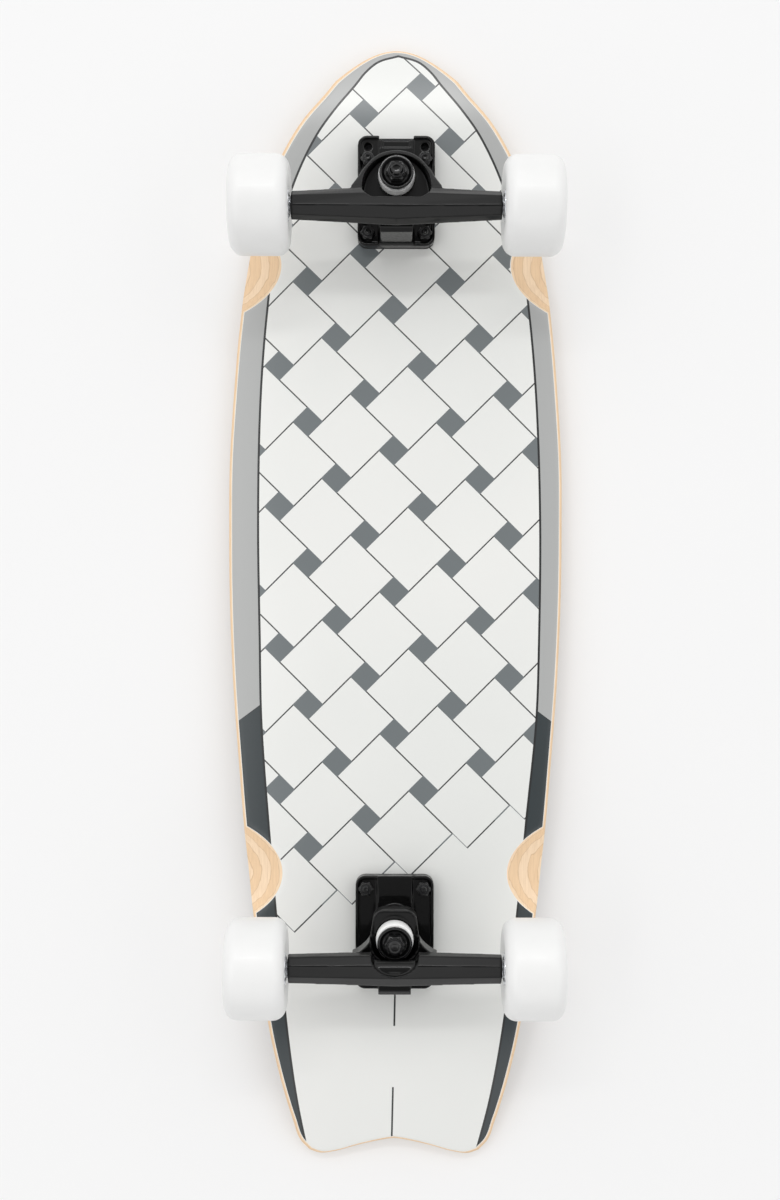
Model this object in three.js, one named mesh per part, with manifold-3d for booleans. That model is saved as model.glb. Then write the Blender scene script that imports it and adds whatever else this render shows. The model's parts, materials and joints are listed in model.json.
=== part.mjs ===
// A surf skateboard, lying grip side down with its trucks and wheels up. Millimetres.
// +Z is up, +Y points to the nose and +X to the right, seen from above with the nose away.
// The board stands on its nose tip and its two tail tips, so the deck leans a little.
import * as THREE from "three";
import { mergeVertices } from "three/addons/utils/BufferGeometryUtils.js";
import Module from "manifold-3d";

const wasm = await Module();
wasm.setup();

// Deck
const boardLength = 813;
const boardWidth = 244;
const deckThickness = 11;
const deckEdgeChamfer = 3.2;
const flatStripWidth = 70;
const concaveDepth = 8;
const noseKickLength = 61.5;
const noseKickRadius = 60;
const noseKickDegrees = 13;
const tailKickLength = 114.5;
const tailKickRadius = 80;
const tailKickDegrees = 24;
const noseCornerWidth = 90;
const noseTipRadius = 34;
const noseFlankSlope = 1.19;
const tailCornerWidth = 124.8;
const tailNotchDepth = 12.4;

// Rail outline between the tail corner and the nose corner: place along half the board's
// length, and width as a share of the board's width.
const railShares = [
  [-0.975, 0.564],
  [-0.935, 0.608],
  [-0.896, 0.645],
  [-0.838, 0.6925],
  [-0.764, 0.744],
  [-0.5685, 0.838],
  [-0.405, 0.9],
  [-0.287, 0.9345],
  [-0.145, 0.971],
  [0, 0.9935],
  [0.14, 1],
  [0.25, 0.998],
  [0.365, 0.977],
  [0.49, 0.943],
  [0.62, 0.884],
  [0.764, 0.755],
  [0.83, 0.65],
  [0.8725, 0.5585],
  [0.9165, 0.4335],
];

// Swallow tail: place from the centreline to the tail corner, and share of the notch's depth.
const swallowShares = [
  [0, 0],
  [0.105, 0.076],
  [0.42, 0.457],
  [0.705, 0.886],
  [0.876, 1],
  [1, 0.79],
];

// Wheel wells, scooped from the underside at the rails. A setback is measured from the
// board's end, so that wells and trucks keep their place at nose and tail.
const wellLength = 68.5;
const wellReach = 26;
const wellDepth = 6;
const frontWellSetback = 160.5;
const rearWellSetback = 209.5;

// Grip tape
const gripThickness = 0.9;
const gripInset = 1.2;

// Clearances
const seatGap = 0.3;
const cutOverrun = 4;
const edgeMargin = 1e-6;

// Mounting bolts, in the usual pattern of four
const boltPatternLength = 53.98;
const boltPatternWidth = 41.28;
const boltDiameter = 4.8;
const boltHoleDiameter = 5.8;
const boltHeadDiameter = 9.4;
const boltHeadHeight = 2.6;
const boltHeadClearance = 0.5;
const boltTail = 1.6;
const locknutAcrossFlats = 9.5;
const locknutHeight = 5.2;
const frontPatternSetback = 113;
const rearPatternSetback = 173.5;

// Riser pads
const riserThickness = 3;

// Baseplates
const plateWidth = 56;
const plateInnerReach = 36.2;
const plateOuterReach = 44.4;
const plateThickness = 5.5;
const plateCornerRadius = 7;
const plateLipHeight = 1.3;
const plateLipWidth = 2.2;
const plateExtraHolePlace = 36.5;
const spineWidth = 25;
const spineCornerRadius = 1;
const spineHeight = 2.6;
const spineChannelWidth = 20;
const spineChannelLength = 9;
const noseNotchDepth = 3.2;
const bossRadius = 13;
const towerWidth = 23;
const towerWall = 4;
const towerInset = 1.5;
const towerOverhang = 0.6;
const rearTowerReach = 6;
const frontTowerRise = 7;
const rearTowerRise = 10;
const towerBevel = 3;

// Kingpins, bushings and washers
const kingpinDiameter = 9.5;
const kingpinHeadAcrossFlats = 14;
const kingpinHeadHeight = 4.6;
const kingpinTail = 1.4;
const kingpinNutAcrossFlats = 13;
const kingpinNutHeight = 7;
const washerDiameter = 24.2;
const washerThickness = 1.5;
const washerRimHeight = 3.4;
const bushingDiameter = 26.4;
const bushingBulge = 0.5;
const boardBushingHeight = 12;
const roadBushingHeight = 10;

// Hangers
const ringThickness = 8;
const ringHoleDiameter = 15;
const hangerWidth = 146;
const hangerEndWidth = 20.2;
const beamHeight = 22;
const beamEndShare = 0.86;
const axleHeight = 62;
const pivotNoseRootDiameter = 15;
const pivotNoseTipDiameter = 9.6;
const pivotNoseLength = 14;
const pivotCupWall = 2;
const pivotCupDepth = 9;
const neckWidth = 17;

// Beam section: shares of half its width and of half its height
const beamSectionShares = [
  [0, 1],
  [0.66, 0.62],
  [1, 0],
  [0.72, -0.68],
  [0, -1],
  [-0.72, -0.68],
  [-1, 0],
  [-0.66, 0.62],
];

// Front truck: the axle lies inboard of the kingpin
const frontAxlePlace = -21;
const frontBeamWidth = 28;
const frontRidgeShare = -0.18;
const frontRingPlace = 5.6;
const frontRingHeight = 30.5;
const frontKingpinLean = 3;
const frontPocketDiameter = 30.4;
const frontPivotPlace = -26.5;
const frontPivotHeight = 39.5;
const yokeWidth = 63;
const yokeReach = 24.7;
const yokeRimHeight = 13;
const yokeRecessWidth = 48;
const yokeRimThickness = 3.4;
const yokeRecessDepth = 9.8;
const yokeRecessCorner = 7;
const frontNeckReach = 6.5;

// Outline of the front yoke: shares of half its width and of its reach from the beam
const yokeShares = [
  [1, 0],
  [0.86, 0.24],
  [0.75, 0.46],
  [0.585, 0.7],
  [0.43, 0.86],
  [0.25, 0.955],
  [0, 1],
];

// Rear truck: the axle lies outboard of the kingpin
const rearAxlePlace = 19.5;
const rearBeamWidth = 24.2;
const rearRidgeShare = -0.34;
const rearRingPlace = 1.4;
const rearRingHeight = 34;
const rearKingpinLean = 11;
const rearPocketDiameter = 33;
const rearPocketLength = 30.4;
const rearPivotPlace = 37;
const rearPivotHeight = 20;
const ringCollarWidth = 33.8;
const ringShoulderWidth = 30.8;
const ringCollarHeight = 1.5;
const ringCornerRadius = 7.8;
const ringReach = 19.7;
const ringTail = 9;
const ringFlareStart = -1.2;
const ringFlareOverlap = 3.2;
const ringFlareWidth = 59;
const ringFlareHeight = 16;

// The flare's side from the ring to the beam: share of its widening and of its length
const flareShares = [
  [0.05, 0],
  [0.15, 0.2],
  [0.32, 0.44],
  [0.69, 0.83],
  [1, 1],
];
const axleSleeveDiameter = 11.4;

// Axles and wheels
const axleDiameter = 8;
const axleTail = 1.2;
const axleNutAcrossFlats = 12.7;
const axleNutHeight = 6;
const speedRingRoom = 0.9;
const wheelDiameter = 69;
const wheelWidth = 41.5;
const wheelLipRadius = 9;
const wheelOffset = 0.8;
const hubRecessDiameter = 27;
const hubRecessFlare = 5;
const hubFaceDiameter = 52;
const hubFaceDepth = 1.6;
const bearingDiameter = 22;
const bearingWidth = 7;
const spacerLength = 9.4;
const spacerDiameter = 11;
const wheelSteps = 28;
const roundSteps = 20;
const smallSteps = 10;
const hexSteps = 6;
const lipSteps = 3;
const archSteps = 3;
const deckColumns = 10;
const deckRows = 36;

// Worked out from the sizes above
const halfLength = boardLength / 2;
const noseKickStart = halfLength - noseKickLength;
const tailKickStart = halfLength - tailKickLength;
const frontWellCentre = halfLength - frontWellSetback;
const rearWellCentre = halfLength - rearWellSetback;
const frontPatternPlace = halfLength - frontPatternSetback;
const rearPatternPlace = halfLength - rearPatternSetback;
const halfWidth = boardWidth / 2;
const flatHalf = flatStripWidth / 2;
const noseCorner = noseCornerWidth / 2;
const tailCorner = tailCornerWidth / 2;
const plateBottom = riserThickness + 2 * seatGap;
const plateTop = plateBottom + plateThickness;
const wheelInner = hangerWidth / 2 + wheelOffset;
const wheelOuter = wheelInner + wheelWidth;
const bearingInner = hangerWidth / 2 + speedRingRoom + seatGap;
const spacerInner = bearingInner + bearingWidth + seatGap;
const outerBearingInner = spacerInner + spacerLength + seatGap;
const axleNutInner = outerBearingInner + bearingWidth + speedRingRoom;
const axleEnd = axleNutInner + axleNutHeight + axleTail;

const finishes = {
  wood: { color: 0xe8dcc8, roughness: 0.45, metalness: 0 },
  grip: { color: 0x1b1b1c, roughness: 0.95, metalness: 0 },
  rubber: { color: 0x141414, roughness: 0.8, metalness: 0 },
  castBlack: { color: 0x26282a, roughness: 0.38, metalness: 0.5 },
  steelBlack: { color: 0x202122, roughness: 0.35, metalness: 0.8 },
  steel: { color: 0xb9bcc0, roughness: 0.25, metalness: 1 },
  urethane: { color: 0xefeeea, roughness: 0.4, metalness: 0 },
  cup: { color: 0x2a2a2c, roughness: 0.6, metalness: 0 },
};

// Joining and cutting

function closed(geometry) {
  const bare = geometry.index ? geometry.toNonIndexed() : geometry.clone();
  bare.deleteAttribute("normal");
  bare.deleteAttribute("uv");
  const merged = mergeVertices(bare);
  const place = merged.attributes.position.array;
  const corners = merged.index.array;
  const kept = [];
  let volume = 0;
  for (let i = 0; i < corners.length; i += 3) {
    const [a, b, c] = corners.subarray(i, i + 3);
    if (a === b || b === c || c === a) continue;
    kept.push([a, b, c]);
    const [p, q, r] = [a, b, c].map((n) => new THREE.Vector3().fromArray(place, n * 3));
    volume += p.dot(q.cross(r));
  }
  const facing = volume < 0 ? kept.map(([a, b, c]) => [a, c, b]) : kept;
  const mesh = new wasm.Mesh({
    numProp: 3,
    vertProperties: new Float32Array(place),
    triVerts: new Uint32Array(facing.flat()),
  });
  return new wasm.Manifold(mesh);
}

function joined(...geometries) {
  return geometries.map(closed).reduce((whole, piece) => whole.add(piece));
}

function cut(solid, ...tools) {
  return tools.map(closed).reduce((whole, tool) => whole.subtract(tool), solid);
}

function geometryOf(solid) {
  const mesh = solid.getMesh();
  const geometry = new THREE.BufferGeometry();
  geometry.setAttribute("position", new THREE.BufferAttribute(mesh.vertProperties, 3));
  geometry.setIndex(new THREE.BufferAttribute(mesh.triVerts, 1));
  geometry.computeVertexNormals();
  return geometry;
}

// Basic shapes, with round ones standing on Z

function turned(profile, steps) {
  const points = profile.map(([radius, height]) => new THREE.Vector2(radius, height));
  return new THREE.LatheGeometry(points, steps).rotateX(Math.PI / 2);
}

function ringProfile(inner, outer, low, high) {
  return [
    [inner, low],
    [outer, low],
    [outer, high],
    [inner, high],
    [inner, low],
  ];
}

function pillar(radius, low, high, steps = roundSteps) {
  return turned([[0, low], [radius, low], [radius, high], [0, high]], steps);
}

function hexagon(acrossFlats, low, high) {
  const corner = acrossFlats / 2 / Math.cos(Math.PI / hexSteps);
  return pillar(corner, low, high, hexSteps);
}

function slab(shape, low, high) {
  const depth = high - low;
  return new THREE.ExtrudeGeometry(shape, { depth, bevelEnabled: false }).translate(0, 0, low);
}

function alongX(geometry) {
  return geometry.rotateY(Math.PI / 2);
}

function block(xSize, yLow, yHigh, zLow, zHigh) {
  const box = new THREE.BoxGeometry(xSize, yHigh - yLow, zHigh - zLow);
  return box.translate(0, (yLow + yHigh) / 2, (zLow + zHigh) / 2);
}

function roundedRectangle(xHalf, yLow, yHigh, radius) {
  const shape = new THREE.Shape();
  shape.absarc(xHalf - radius, yHigh - radius, radius, 0, Math.PI / 2);
  shape.absarc(radius - xHalf, yHigh - radius, radius, Math.PI / 2, Math.PI);
  shape.absarc(radius - xHalf, yLow + radius, radius, Math.PI, Math.PI * 1.5);
  shape.absarc(xHalf - radius, yLow + radius, radius, Math.PI * 1.5, Math.PI * 2);
  return new THREE.Shape(shape.getPoints(roundSteps / 4));
}

// A slab drawn in the board's side view (y, z) and as wide as xSize
function sidePlate(points, xSize) {
  const shape = new THREE.Shape(points.map(([y, z]) => new THREE.Vector2(y, z)));
  const plate = new THREE.ExtrudeGeometry(shape, { depth: xSize, bevelEnabled: false });
  plate.translate(0, 0, -xSize / 2);
  return plate.applyMatrix4(new THREE.Matrix4().set(0, 0, 1, 0, 1, 0, 0, 0, 0, 1, 0, 0, 0, 0, 0, 1));
}

function piece(name, solidOrGeometry, finish) {
  const solid = solidOrGeometry.isBufferGeometry ? closed(solidOrGeometry) : solidOrGeometry;
  const material = new THREE.MeshStandardMaterial(finish);
  const mesh = new THREE.Mesh(geometryOf(solid), material);
  mesh.name = name;
  return mesh;
}

// Deck surface

const noseFlankReach = noseTipRadius * noseFlankSlope;
const noseFlankRise = noseFlankReach * noseFlankSlope;

function noseEdge(x) {
  return halfLength - noseFlankRise * (Math.hypot(1, x / noseFlankReach) - 1);
}

const swallowCurve = new THREE.CubicInterpolant(
  swallowShares.map(([place]) => place),
  swallowShares.map(([, depth]) => depth),
  1,
);

function tailEdge(x) {
  const place = Math.min(Math.abs(x) / tailCorner, 1);
  return -halfLength + tailNotchDepth * (1 - swallowCurve.evaluate(place)[0]);
}

const railEnds = [
  [tailEdge(tailCorner) / halfLength, tailCorner / halfWidth],
  ...railShares,
  [noseEdge(noseCorner) / halfLength, noseCorner / halfWidth],
];
const railCurve = new THREE.CubicInterpolant(
  railEnds.map(([place]) => place),
  railEnds.map(([, width]) => width),
  1,
);

function railAt(y) {
  return railCurve.evaluate(y / halfLength)[0] * halfWidth;
}

function kick(run, radius, degrees) {
  const past = Math.max(run, 0);
  return Math.tan(THREE.MathUtils.degToRad(degrees)) * (Math.hypot(past, radius) - radius);
}

// How far the underside lies below the flat strip between the trucks
function undersideDrop(x, y) {
  const past = Math.max(Math.abs(x) - flatHalf, 0) / (halfWidth - flatHalf);
  const concave = concaveDepth * past ** 2;
  const nose = kick(y - noseKickStart, noseKickRadius, noseKickDegrees);
  const tail = kick(-y - tailKickStart, tailKickRadius, tailKickDegrees);
  return concave + nose + tail;
}

function deckPoint(across, along, inset, depth) {
  const railY = THREE.MathUtils.lerp(tailEdge(tailCorner), noseEdge(noseCorner), along);
  const x = across * (railAt(railY) - inset);
  const tailY = tailEdge(across * tailCorner) + inset;
  const noseY = noseEdge(across * noseCorner) - inset;
  const y = THREE.MathUtils.lerp(tailY, noseY, along);
  return new THREE.Vector3(x, y, -undersideDrop(x, y) - depth);
}

// A sheet that follows the deck. Layers hold each level's depth, its inset, and how far its
// edge alone is trimmed back, so that two sheets share one grid and lie evenly on each other.
function deckSheet(layers, columns, rows) {
  const levels = layers.length - 1;
  const sheet = new THREE.BoxGeometry(1, 1, 1, columns, rows, levels);
  const place = sheet.attributes.position;
  for (let i = 0; i < place.count; i += 1) {
    const even = place.getY(i) + 1 / 2;
    const crowded = (1 - Math.cos(Math.PI * even)) / 2;
    const [depth, inset, trim] = layers[Math.round((1 / 2 - place.getZ(i)) * levels)];
    const reach = Math.max(Math.abs(place.getX(i)), Math.abs(place.getY(i)));
    const onEdge = reach > 1 / 2 - edgeMargin;
    const edge = onEdge ? inset + trim : inset;
    const point = deckPoint(place.getX(i) * 2, (even + crowded) / 2, edge, depth);
    place.setXYZ(i, ...point);
  }
  return sheet;
}

function boltPlaces(centre) {
  const places = [];
  for (const x of [-boltPatternWidth / 2, boltPatternWidth / 2]) {
    for (const y of [-boltPatternLength / 2, boltPatternLength / 2]) {
      places.push([x, centre + y]);
    }
  }
  return places;
}

const deckBoltPlaces = [...boltPlaces(frontPatternPlace), ...boltPlaces(-rearPatternPlace)];

// A well's cutter: a wide cylinder that leans down towards the rail
function wellCutter(side, centre) {
  const rail = railAt(centre);
  const inner = rail - wellReach;
  const innerZ = -undersideDrop(inner, centre);
  const railZ = -undersideDrop(rail, centre) - wellDepth;
  const radius = (wellLength ** 2 / 4 + wellDepth ** 2) / (2 * wellDepth);
  const slope = Math.atan2(railZ - innerZ, wellReach);
  const cutter = new THREE.CylinderGeometry(radius, radius, 4 * wellReach, 4 * wheelSteps);
  cutter.rotateZ(Math.PI / 2).translate(0, 0, radius).rotateY(-slope);
  cutter.translate(inner, centre, innerZ);
  return side > 0 ? cutter : cutter.rotateZ(Math.PI).translate(0, 2 * centre, 0);
}

function boltCutter([x, y]) {
  const headRadius = boltHeadDiameter / 2 + boltHeadClearance;
  const profile = [
    [0, -deckThickness - cutOverrun],
    [headRadius, -deckThickness - cutOverrun],
    [headRadius, -deckThickness],
    [boltHoleDiameter / 2, -deckThickness + boltHeadHeight + boltHeadClearance],
    [boltHoleDiameter / 2, cutOverrun],
    [0, cutOverrun],
  ];
  return turned(profile, smallSteps).translate(x, y, 0);
}

const deckLayers = [
  [0, deckEdgeChamfer, 0],
  [deckEdgeChamfer, 0, 0],
  [deckThickness - deckEdgeChamfer, 0, 0],
  [deckThickness, deckEdgeChamfer, 0],
];
// Outer face first, so that the face on the deck is split into the same triangles as the deck's
const gripLayers = [
  [deckThickness + seatGap + gripThickness, deckEdgeChamfer, gripInset],
  [deckThickness + seatGap, deckEdgeChamfer, gripInset],
];

function makeDeck() {
  const wells = [];
  for (const side of [-1, 1]) {
    wells.push(wellCutter(side, frontWellCentre), wellCutter(side, -rearWellCentre));
  }
  const body = closed(deckSheet(deckLayers, deckColumns, deckRows));
  return piece("deck", cut(body, ...wells, ...deckBoltPlaces.map(boltCutter)), finishes.wood);
}

function makeGrip() {
  const body = closed(deckSheet(gripLayers, deckColumns, deckRows));
  const radius = boltHeadDiameter / 2 + 2 * boltHeadClearance;
  const low = -deckThickness - gripThickness - cutOverrun;
  const holes = deckBoltPlaces.map(([x, y]) => {
    return pillar(radius, low, -deckThickness + cutOverrun, smallSteps).translate(x, y, 0);
  });
  return piece("grip_tape", cut(body, ...holes), finishes.grip);
}

// Truck pieces, drawn with +Y outboard and z from the deck's underside

function boltHoles(low, high, places) {
  return places.map(([x, y]) => {
    return pillar(boltHoleDiameter / 2, low, high, smallSteps).translate(x, y, 0);
  });
}

function plateOutline(inset) {
  const radius = plateCornerRadius - inset;
  return roundedRectangle(plateWidth / 2 - inset, inset - plateInnerReach, plateOuterReach - inset, radius);
}

function makeRiser(truck) {
  const body = closed(slab(plateOutline(0), seatGap, seatGap + riserThickness));
  const holes = boltHoles(-cutOverrun, plateTop, boltPlaces(0));
  return piece(`${truck.name}_riser_pad`, cut(body, ...holes), finishes.rubber);
}

// Moves a shape drawn on the kingpin, with the ring's centre at zero, to its place
function onKingpin(truck, geometry) {
  geometry.rotateX(-THREE.MathUtils.degToRad(truck.kingpinLean));
  return geometry.translate(0, truck.ringPlace, truck.ringHeight);
}

// Moves a shape drawn along the pivot axis, with the pivot point at zero and the axis
// running on past the nose's tip along +Z, to its place
function onPivot(truck, geometry) {
  geometry.rotateX(-pivotLean(truck));
  return geometry.translate(0, truck.pivotPlace, truck.pivotHeight);
}

function pivotLean(truck) {
  const run = truck.pivotPlace - truck.ringPlace;
  return Math.atan2(run, truck.pivotHeight - truck.ringHeight);
}

const ringTop = ringThickness / 2;
const boardBushingTop = -ringTop - seatGap;
const boardBushingBottom = boardBushingTop - boardBushingHeight;
const boardWasherTop = boardBushingBottom - seatGap;
const bossTop = boardWasherTop - washerThickness - seatGap;
const roadBushingBottom = ringTop + seatGap;
const roadBushingTop = roadBushingBottom + roadBushingHeight;
const roadWasherBottom = roadBushingTop + seatGap;
const kingpinNutBottom = roadWasherBottom + washerThickness + seatGap;
const kingpinNutTop = kingpinNutBottom + kingpinNutHeight;
const kingpinTop = kingpinNutTop + kingpinTail;

function kingpinHeadBottom(truck) {
  const lean = THREE.MathUtils.degToRad(truck.kingpinLean);
  const corner = kingpinHeadAcrossFlats * Math.tan(lean);
  return -(truck.ringHeight - plateBottom - corner) / Math.cos(lean);
}

function makeBaseplate(truck) {
  const spineEnd = plateOuterReach - noseNotchDepth;
  const spine = roundedRectangle(spineWidth / 2, -plateInnerReach, spineEnd, spineCornerRadius);
  const lip = plateOutline(0);
  lip.holes.push(plateOutline(plateLipWidth));
  const bossLow = -(truck.ringHeight - plateTop) - plateThickness / 2;
  const [towerLow, towerHigh] = truck.towerSpan;
  const bevelled = [
    [towerLow, plateBottom],
    [towerLow, truck.towerTop - towerBevel],
    [towerLow + towerBevel, truck.towerTop],
    [towerHigh - towerBevel, truck.towerTop],
    [towerHigh, truck.towerTop - towerBevel],
    [towerHigh, plateBottom],
  ];
  const body = joined(
    slab(plateOutline(0), plateBottom, plateTop),
    slab(lip, plateTop - seatGap, plateTop + plateLipHeight),
    slab(spine, plateTop - seatGap, plateTop + spineHeight),
    onKingpin(truck, pillar(bossRadius, bossLow, bossTop)),
    sidePlate(bevelled, towerWidth),
  );
  const extras = [-boltPatternWidth / 2, boltPatternWidth / 2].map((x) => [x, plateExtraHolePlace]);
  const holes = boltHoles(0, plateTop + cutOverrun, [...boltPlaces(0), ...extras]);
  const headRadius = kingpinHeadAcrossFlats / 2 / Math.cos(Math.PI / hexSteps) + seatGap;
  const headLow = kingpinHeadBottom(truck);
  const channelEnd = plateOuterReach + cutOverrun;
  const channelStart = plateOuterReach - spineChannelLength;
  const cupSeat = pivotNoseTipDiameter / 2 + pivotCupWall + 2 * seatGap;
  const cutters = [
    ...holes,
    onKingpin(truck, pillar(kingpinDiameter / 2 + seatGap, headLow, 0)),
    onKingpin(truck, pillar(headRadius, headLow - cutOverrun, headLow + kingpinHeadHeight + seatGap)),
    onPivot(truck, pillar(cupSeat, -pivotCupDepth, pivotCupWall + 3 * seatGap)),
    onPivot(truck, turned([
      [0, -pivotCupDepth],
      [cupSeat, -pivotCupDepth],
      [cupSeat + pivotCupDepth, -3 * pivotCupDepth],
      [0, -3 * pivotCupDepth],
    ], roundSteps)),
  ];
  if (truck.openChannel) {
    cutters.push(block(spineChannelWidth, channelStart, channelEnd, plateTop - seatGap, axleHeight));
    cutters.push(block(spineWidth, spineEnd, channelEnd, 0, axleHeight));
  }
  return piece(`${truck.name}_baseplate`, cut(body, ...cutters), finishes.castBlack);
}

function makePivotCup(truck) {
  const inner = pivotNoseTipDiameter / 2 + seatGap;
  const outer = inner + pivotCupWall;
  const profile = [
    [0, seatGap],
    [inner, seatGap],
    [inner, -pivotCupDepth + seatGap],
    [outer, -pivotCupDepth + seatGap],
    [outer, pivotCupWall + seatGap],
    [0, pivotCupWall + seatGap],
  ];
  return piece(`${truck.name}_pivot_cup`, onPivot(truck, turned(profile, roundSteps)), finishes.cup);
}

function makeKingpin(truck) {
  const headLow = kingpinHeadBottom(truck);
  const body = joined(
    pillar(kingpinDiameter / 2, headLow + kingpinHeadHeight / 2, kingpinTop),
    hexagon(kingpinHeadAcrossFlats, headLow, headLow + kingpinHeadHeight),
  );
  return piece(`${truck.name}_kingpin`, onKingpin(truck, geometryOf(body)), finishes.steelBlack);
}

function makeKingpinNut(truck) {
  const bore = kingpinDiameter / 2 + seatGap;
  const body = cut(
    closed(hexagon(kingpinNutAcrossFlats, kingpinNutBottom, kingpinNutTop)),
    pillar(bore, kingpinNutBottom - cutOverrun, kingpinNutTop + cutOverrun, smallSteps),
  );
  return piece(`${truck.name}_kingpin_nut`, onKingpin(truck, geometryOf(body)), finishes.steelBlack);
}

// A cupped washer: its rim stands away from the bushing
function makeWasher(name, truck, seat, direction) {
  const inner = kingpinDiameter / 2 + seatGap;
  const outer = washerDiameter / 2;
  const top = seat + direction * washerThickness;
  const profile = [
    [inner, seat],
    [outer - washerRimHeight / 2, seat],
    [outer, seat + direction * (washerRimHeight - washerThickness)],
    [outer, seat + direction * washerRimHeight],
    [outer - washerThickness, seat + direction * washerRimHeight],
    [outer - washerRimHeight, top],
    [inner, top],
    [inner, seat],
  ];
  return piece(`${truck.name}_${name}`, onKingpin(truck, turned(profile, roundSteps)), finishes.steelBlack);
}

function makeFlatWasher(name, truck, low) {
  const profile = ringProfile(kingpinDiameter / 2 + seatGap, washerDiameter / 2, low, low + washerThickness);
  return piece(`${truck.name}_${name}`, onKingpin(truck, turned(profile, roundSteps)), finishes.steelBlack);
}

function makeBushing(name, truck, low, high) {
  const inner = kingpinDiameter / 2 + seatGap;
  const outer = bushingDiameter / 2;
  const profile = [
    [inner, low],
    [outer - bushingBulge, low],
    [outer, (low + high) / 2],
    [outer - bushingBulge, high],
    [inner, high],
    [inner, low],
  ];
  return piece(`${truck.name}_${name}`, onKingpin(truck, turned(profile, roundSteps)), finishes.urethane);
}

// The hanger's beam: a section along X that narrows to its ends, with its ridge off the middle
function beam(width, place, ridge) {
  const section = beamSectionShares.map(([y, z]) => new THREE.Vector2(y + ridge * Math.max(z, 0), z));
  const shape = new THREE.Shape(section);
  const bar = new THREE.ExtrudeGeometry(shape, { depth: 2, steps: 2, bevelEnabled: false });
  bar.translate(0, 0, -1);
  const spots = bar.attributes.position;
  for (let i = 0; i < spots.count; i += 1) {
    const out = Math.abs(spots.getZ(i));
    const half = THREE.MathUtils.lerp(width, hangerEndWidth, out) / 2;
    const rise = (beamHeight / 2) * THREE.MathUtils.lerp(1, beamEndShare, out);
    const x = (spots.getZ(i) * hangerWidth) / 2;
    spots.setXYZ(i, x, place + spots.getX(i) * half, axleHeight + spots.getY(i) * rise);
  }
  return bar;
}

function pivotNose(truck) {
  const profile = [
    [0, -pivotNoseLength - pivotCupDepth],
    [pivotNoseRootDiameter / 2, -pivotNoseLength - pivotCupDepth],
    [pivotNoseRootDiameter / 2, -pivotCupDepth - 2 * pivotCupWall],
    [pivotNoseTipDiameter / 2, -pivotCupDepth - seatGap],
    [pivotNoseTipDiameter / 2, -pivotCupWall],
    [pivotNoseTipDiameter / 4, 0],
    [0, 0],
  ];
  return onPivot(truck, turned(profile, roundSteps));
}

function hangerCutters(truck) {
  const half = hangerWidth / 2 + cutOverrun;
  const axleBore = pillar(axleDiameter / 2 + seatGap, -half, half);
  const bushingRoom = bushingDiameter / 2 + seatGap;
  return [
    onKingpin(truck, pillar(ringHoleDiameter / 2, -ringThickness - cutOverrun, ringThickness)),
    onKingpin(truck, pillar(bushingRoom, boardBushingBottom, -ringTop)),
    alongX(axleBore).translate(0, truck.axlePlace, axleHeight),
  ];
}

// Front hanger: an arched yoke round the kingpin, outboard of the beam. Its top slopes from
// the beam down to its rim, and a recess round the bushing is sunk into yoke and beam.
function makeFrontHanger(truck) {
  const beamEdge = truck.axlePlace + frontBeamWidth / 2;
  const reach = yokeReach - beamEdge;
  const floorLow = truck.ringHeight - ringTop;
  const floorHigh = truck.ringHeight + ringTop;
  const root = beamEdge - frontNeckReach;
  const arch = new THREE.Shape();
  arch.moveTo(-yokeWidth / 2, root);
  arch.lineTo(yokeWidth / 2, root);
  const flank = yokeShares.map(([x, y]) => new THREE.Vector2((x * yokeWidth) / 2, beamEdge + y * reach));
  const mirrored = flank.slice(0, -1).map(({ x, y }) => new THREE.Vector2(-x, y));
  arch.lineTo(flank[0].x, flank[0].y);
  arch.splineThru([...flank.slice(1), ...mirrored.reverse()]);
  const archOutline = new THREE.Shape(arch.getPoints(archSteps));
  const above = [
    [yokeReach + cutOverrun, floorLow + yokeRimHeight],
    [yokeReach, floorLow + yokeRimHeight],
    [beamEdge, axleHeight],
    [root - cutOverrun, axleHeight],
    [root - cutOverrun, axleHeight + beamHeight],
    [yokeReach + cutOverrun, axleHeight + beamHeight],
  ];
  const yoke = cut(closed(slab(archOutline, floorLow, axleHeight)), sidePlate(above, 2 * yokeWidth));
  const neck = [
    [beamEdge, floorLow],
    [beamEdge + ringThickness / 2, floorHigh],
    [beamEdge, axleHeight],
    [truck.axlePlace, axleHeight],
    [truck.axlePlace - beamHeight / 4, axleHeight - beamHeight / 3],
    [root, truck.pivotHeight + ringThickness / 2],
    [root, truck.pivotHeight - ringThickness],
  ];
  const body = joined(
    beam(frontBeamWidth, truck.axlePlace, frontRidgeShare),
    geometryOf(yoke),
    sidePlate(neck, neckWidth),
    pivotNose(truck),
  );
  const recessHalf = yokeRecessWidth / 2;
  const low = beamEdge - yokeRecessDepth;
  const recess = new THREE.Shape();
  recess.moveTo(yokeRecessCorner - recessHalf, low);
  recess.lineTo(recessHalf - yokeRecessCorner, low);
  recess.quadraticCurveTo(recessHalf, low + yokeRecessCorner / 2, recessHalf, beamEdge + seatGap);
  recess.absellipse(0, beamEdge + seatGap, recessHalf, reach - yokeRimThickness, 0, Math.PI);
  recess.quadraticCurveTo(-recessHalf, low + yokeRecessCorner / 2, yokeRecessCorner - recessHalf, low);
  const recessOutline = new THREE.Shape(recess.getPoints(smallSteps));
  const hollow = slab(recessOutline, floorHigh, axleHeight + beamHeight);
  const pocket = onKingpin(truck, pillar(truck.pocketDiameter / 2, ringTop, axleHeight));
  return piece("front_hanger", cut(body, hollow, pocket, ...hangerCutters(truck)), finishes.castBlack);
}

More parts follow.
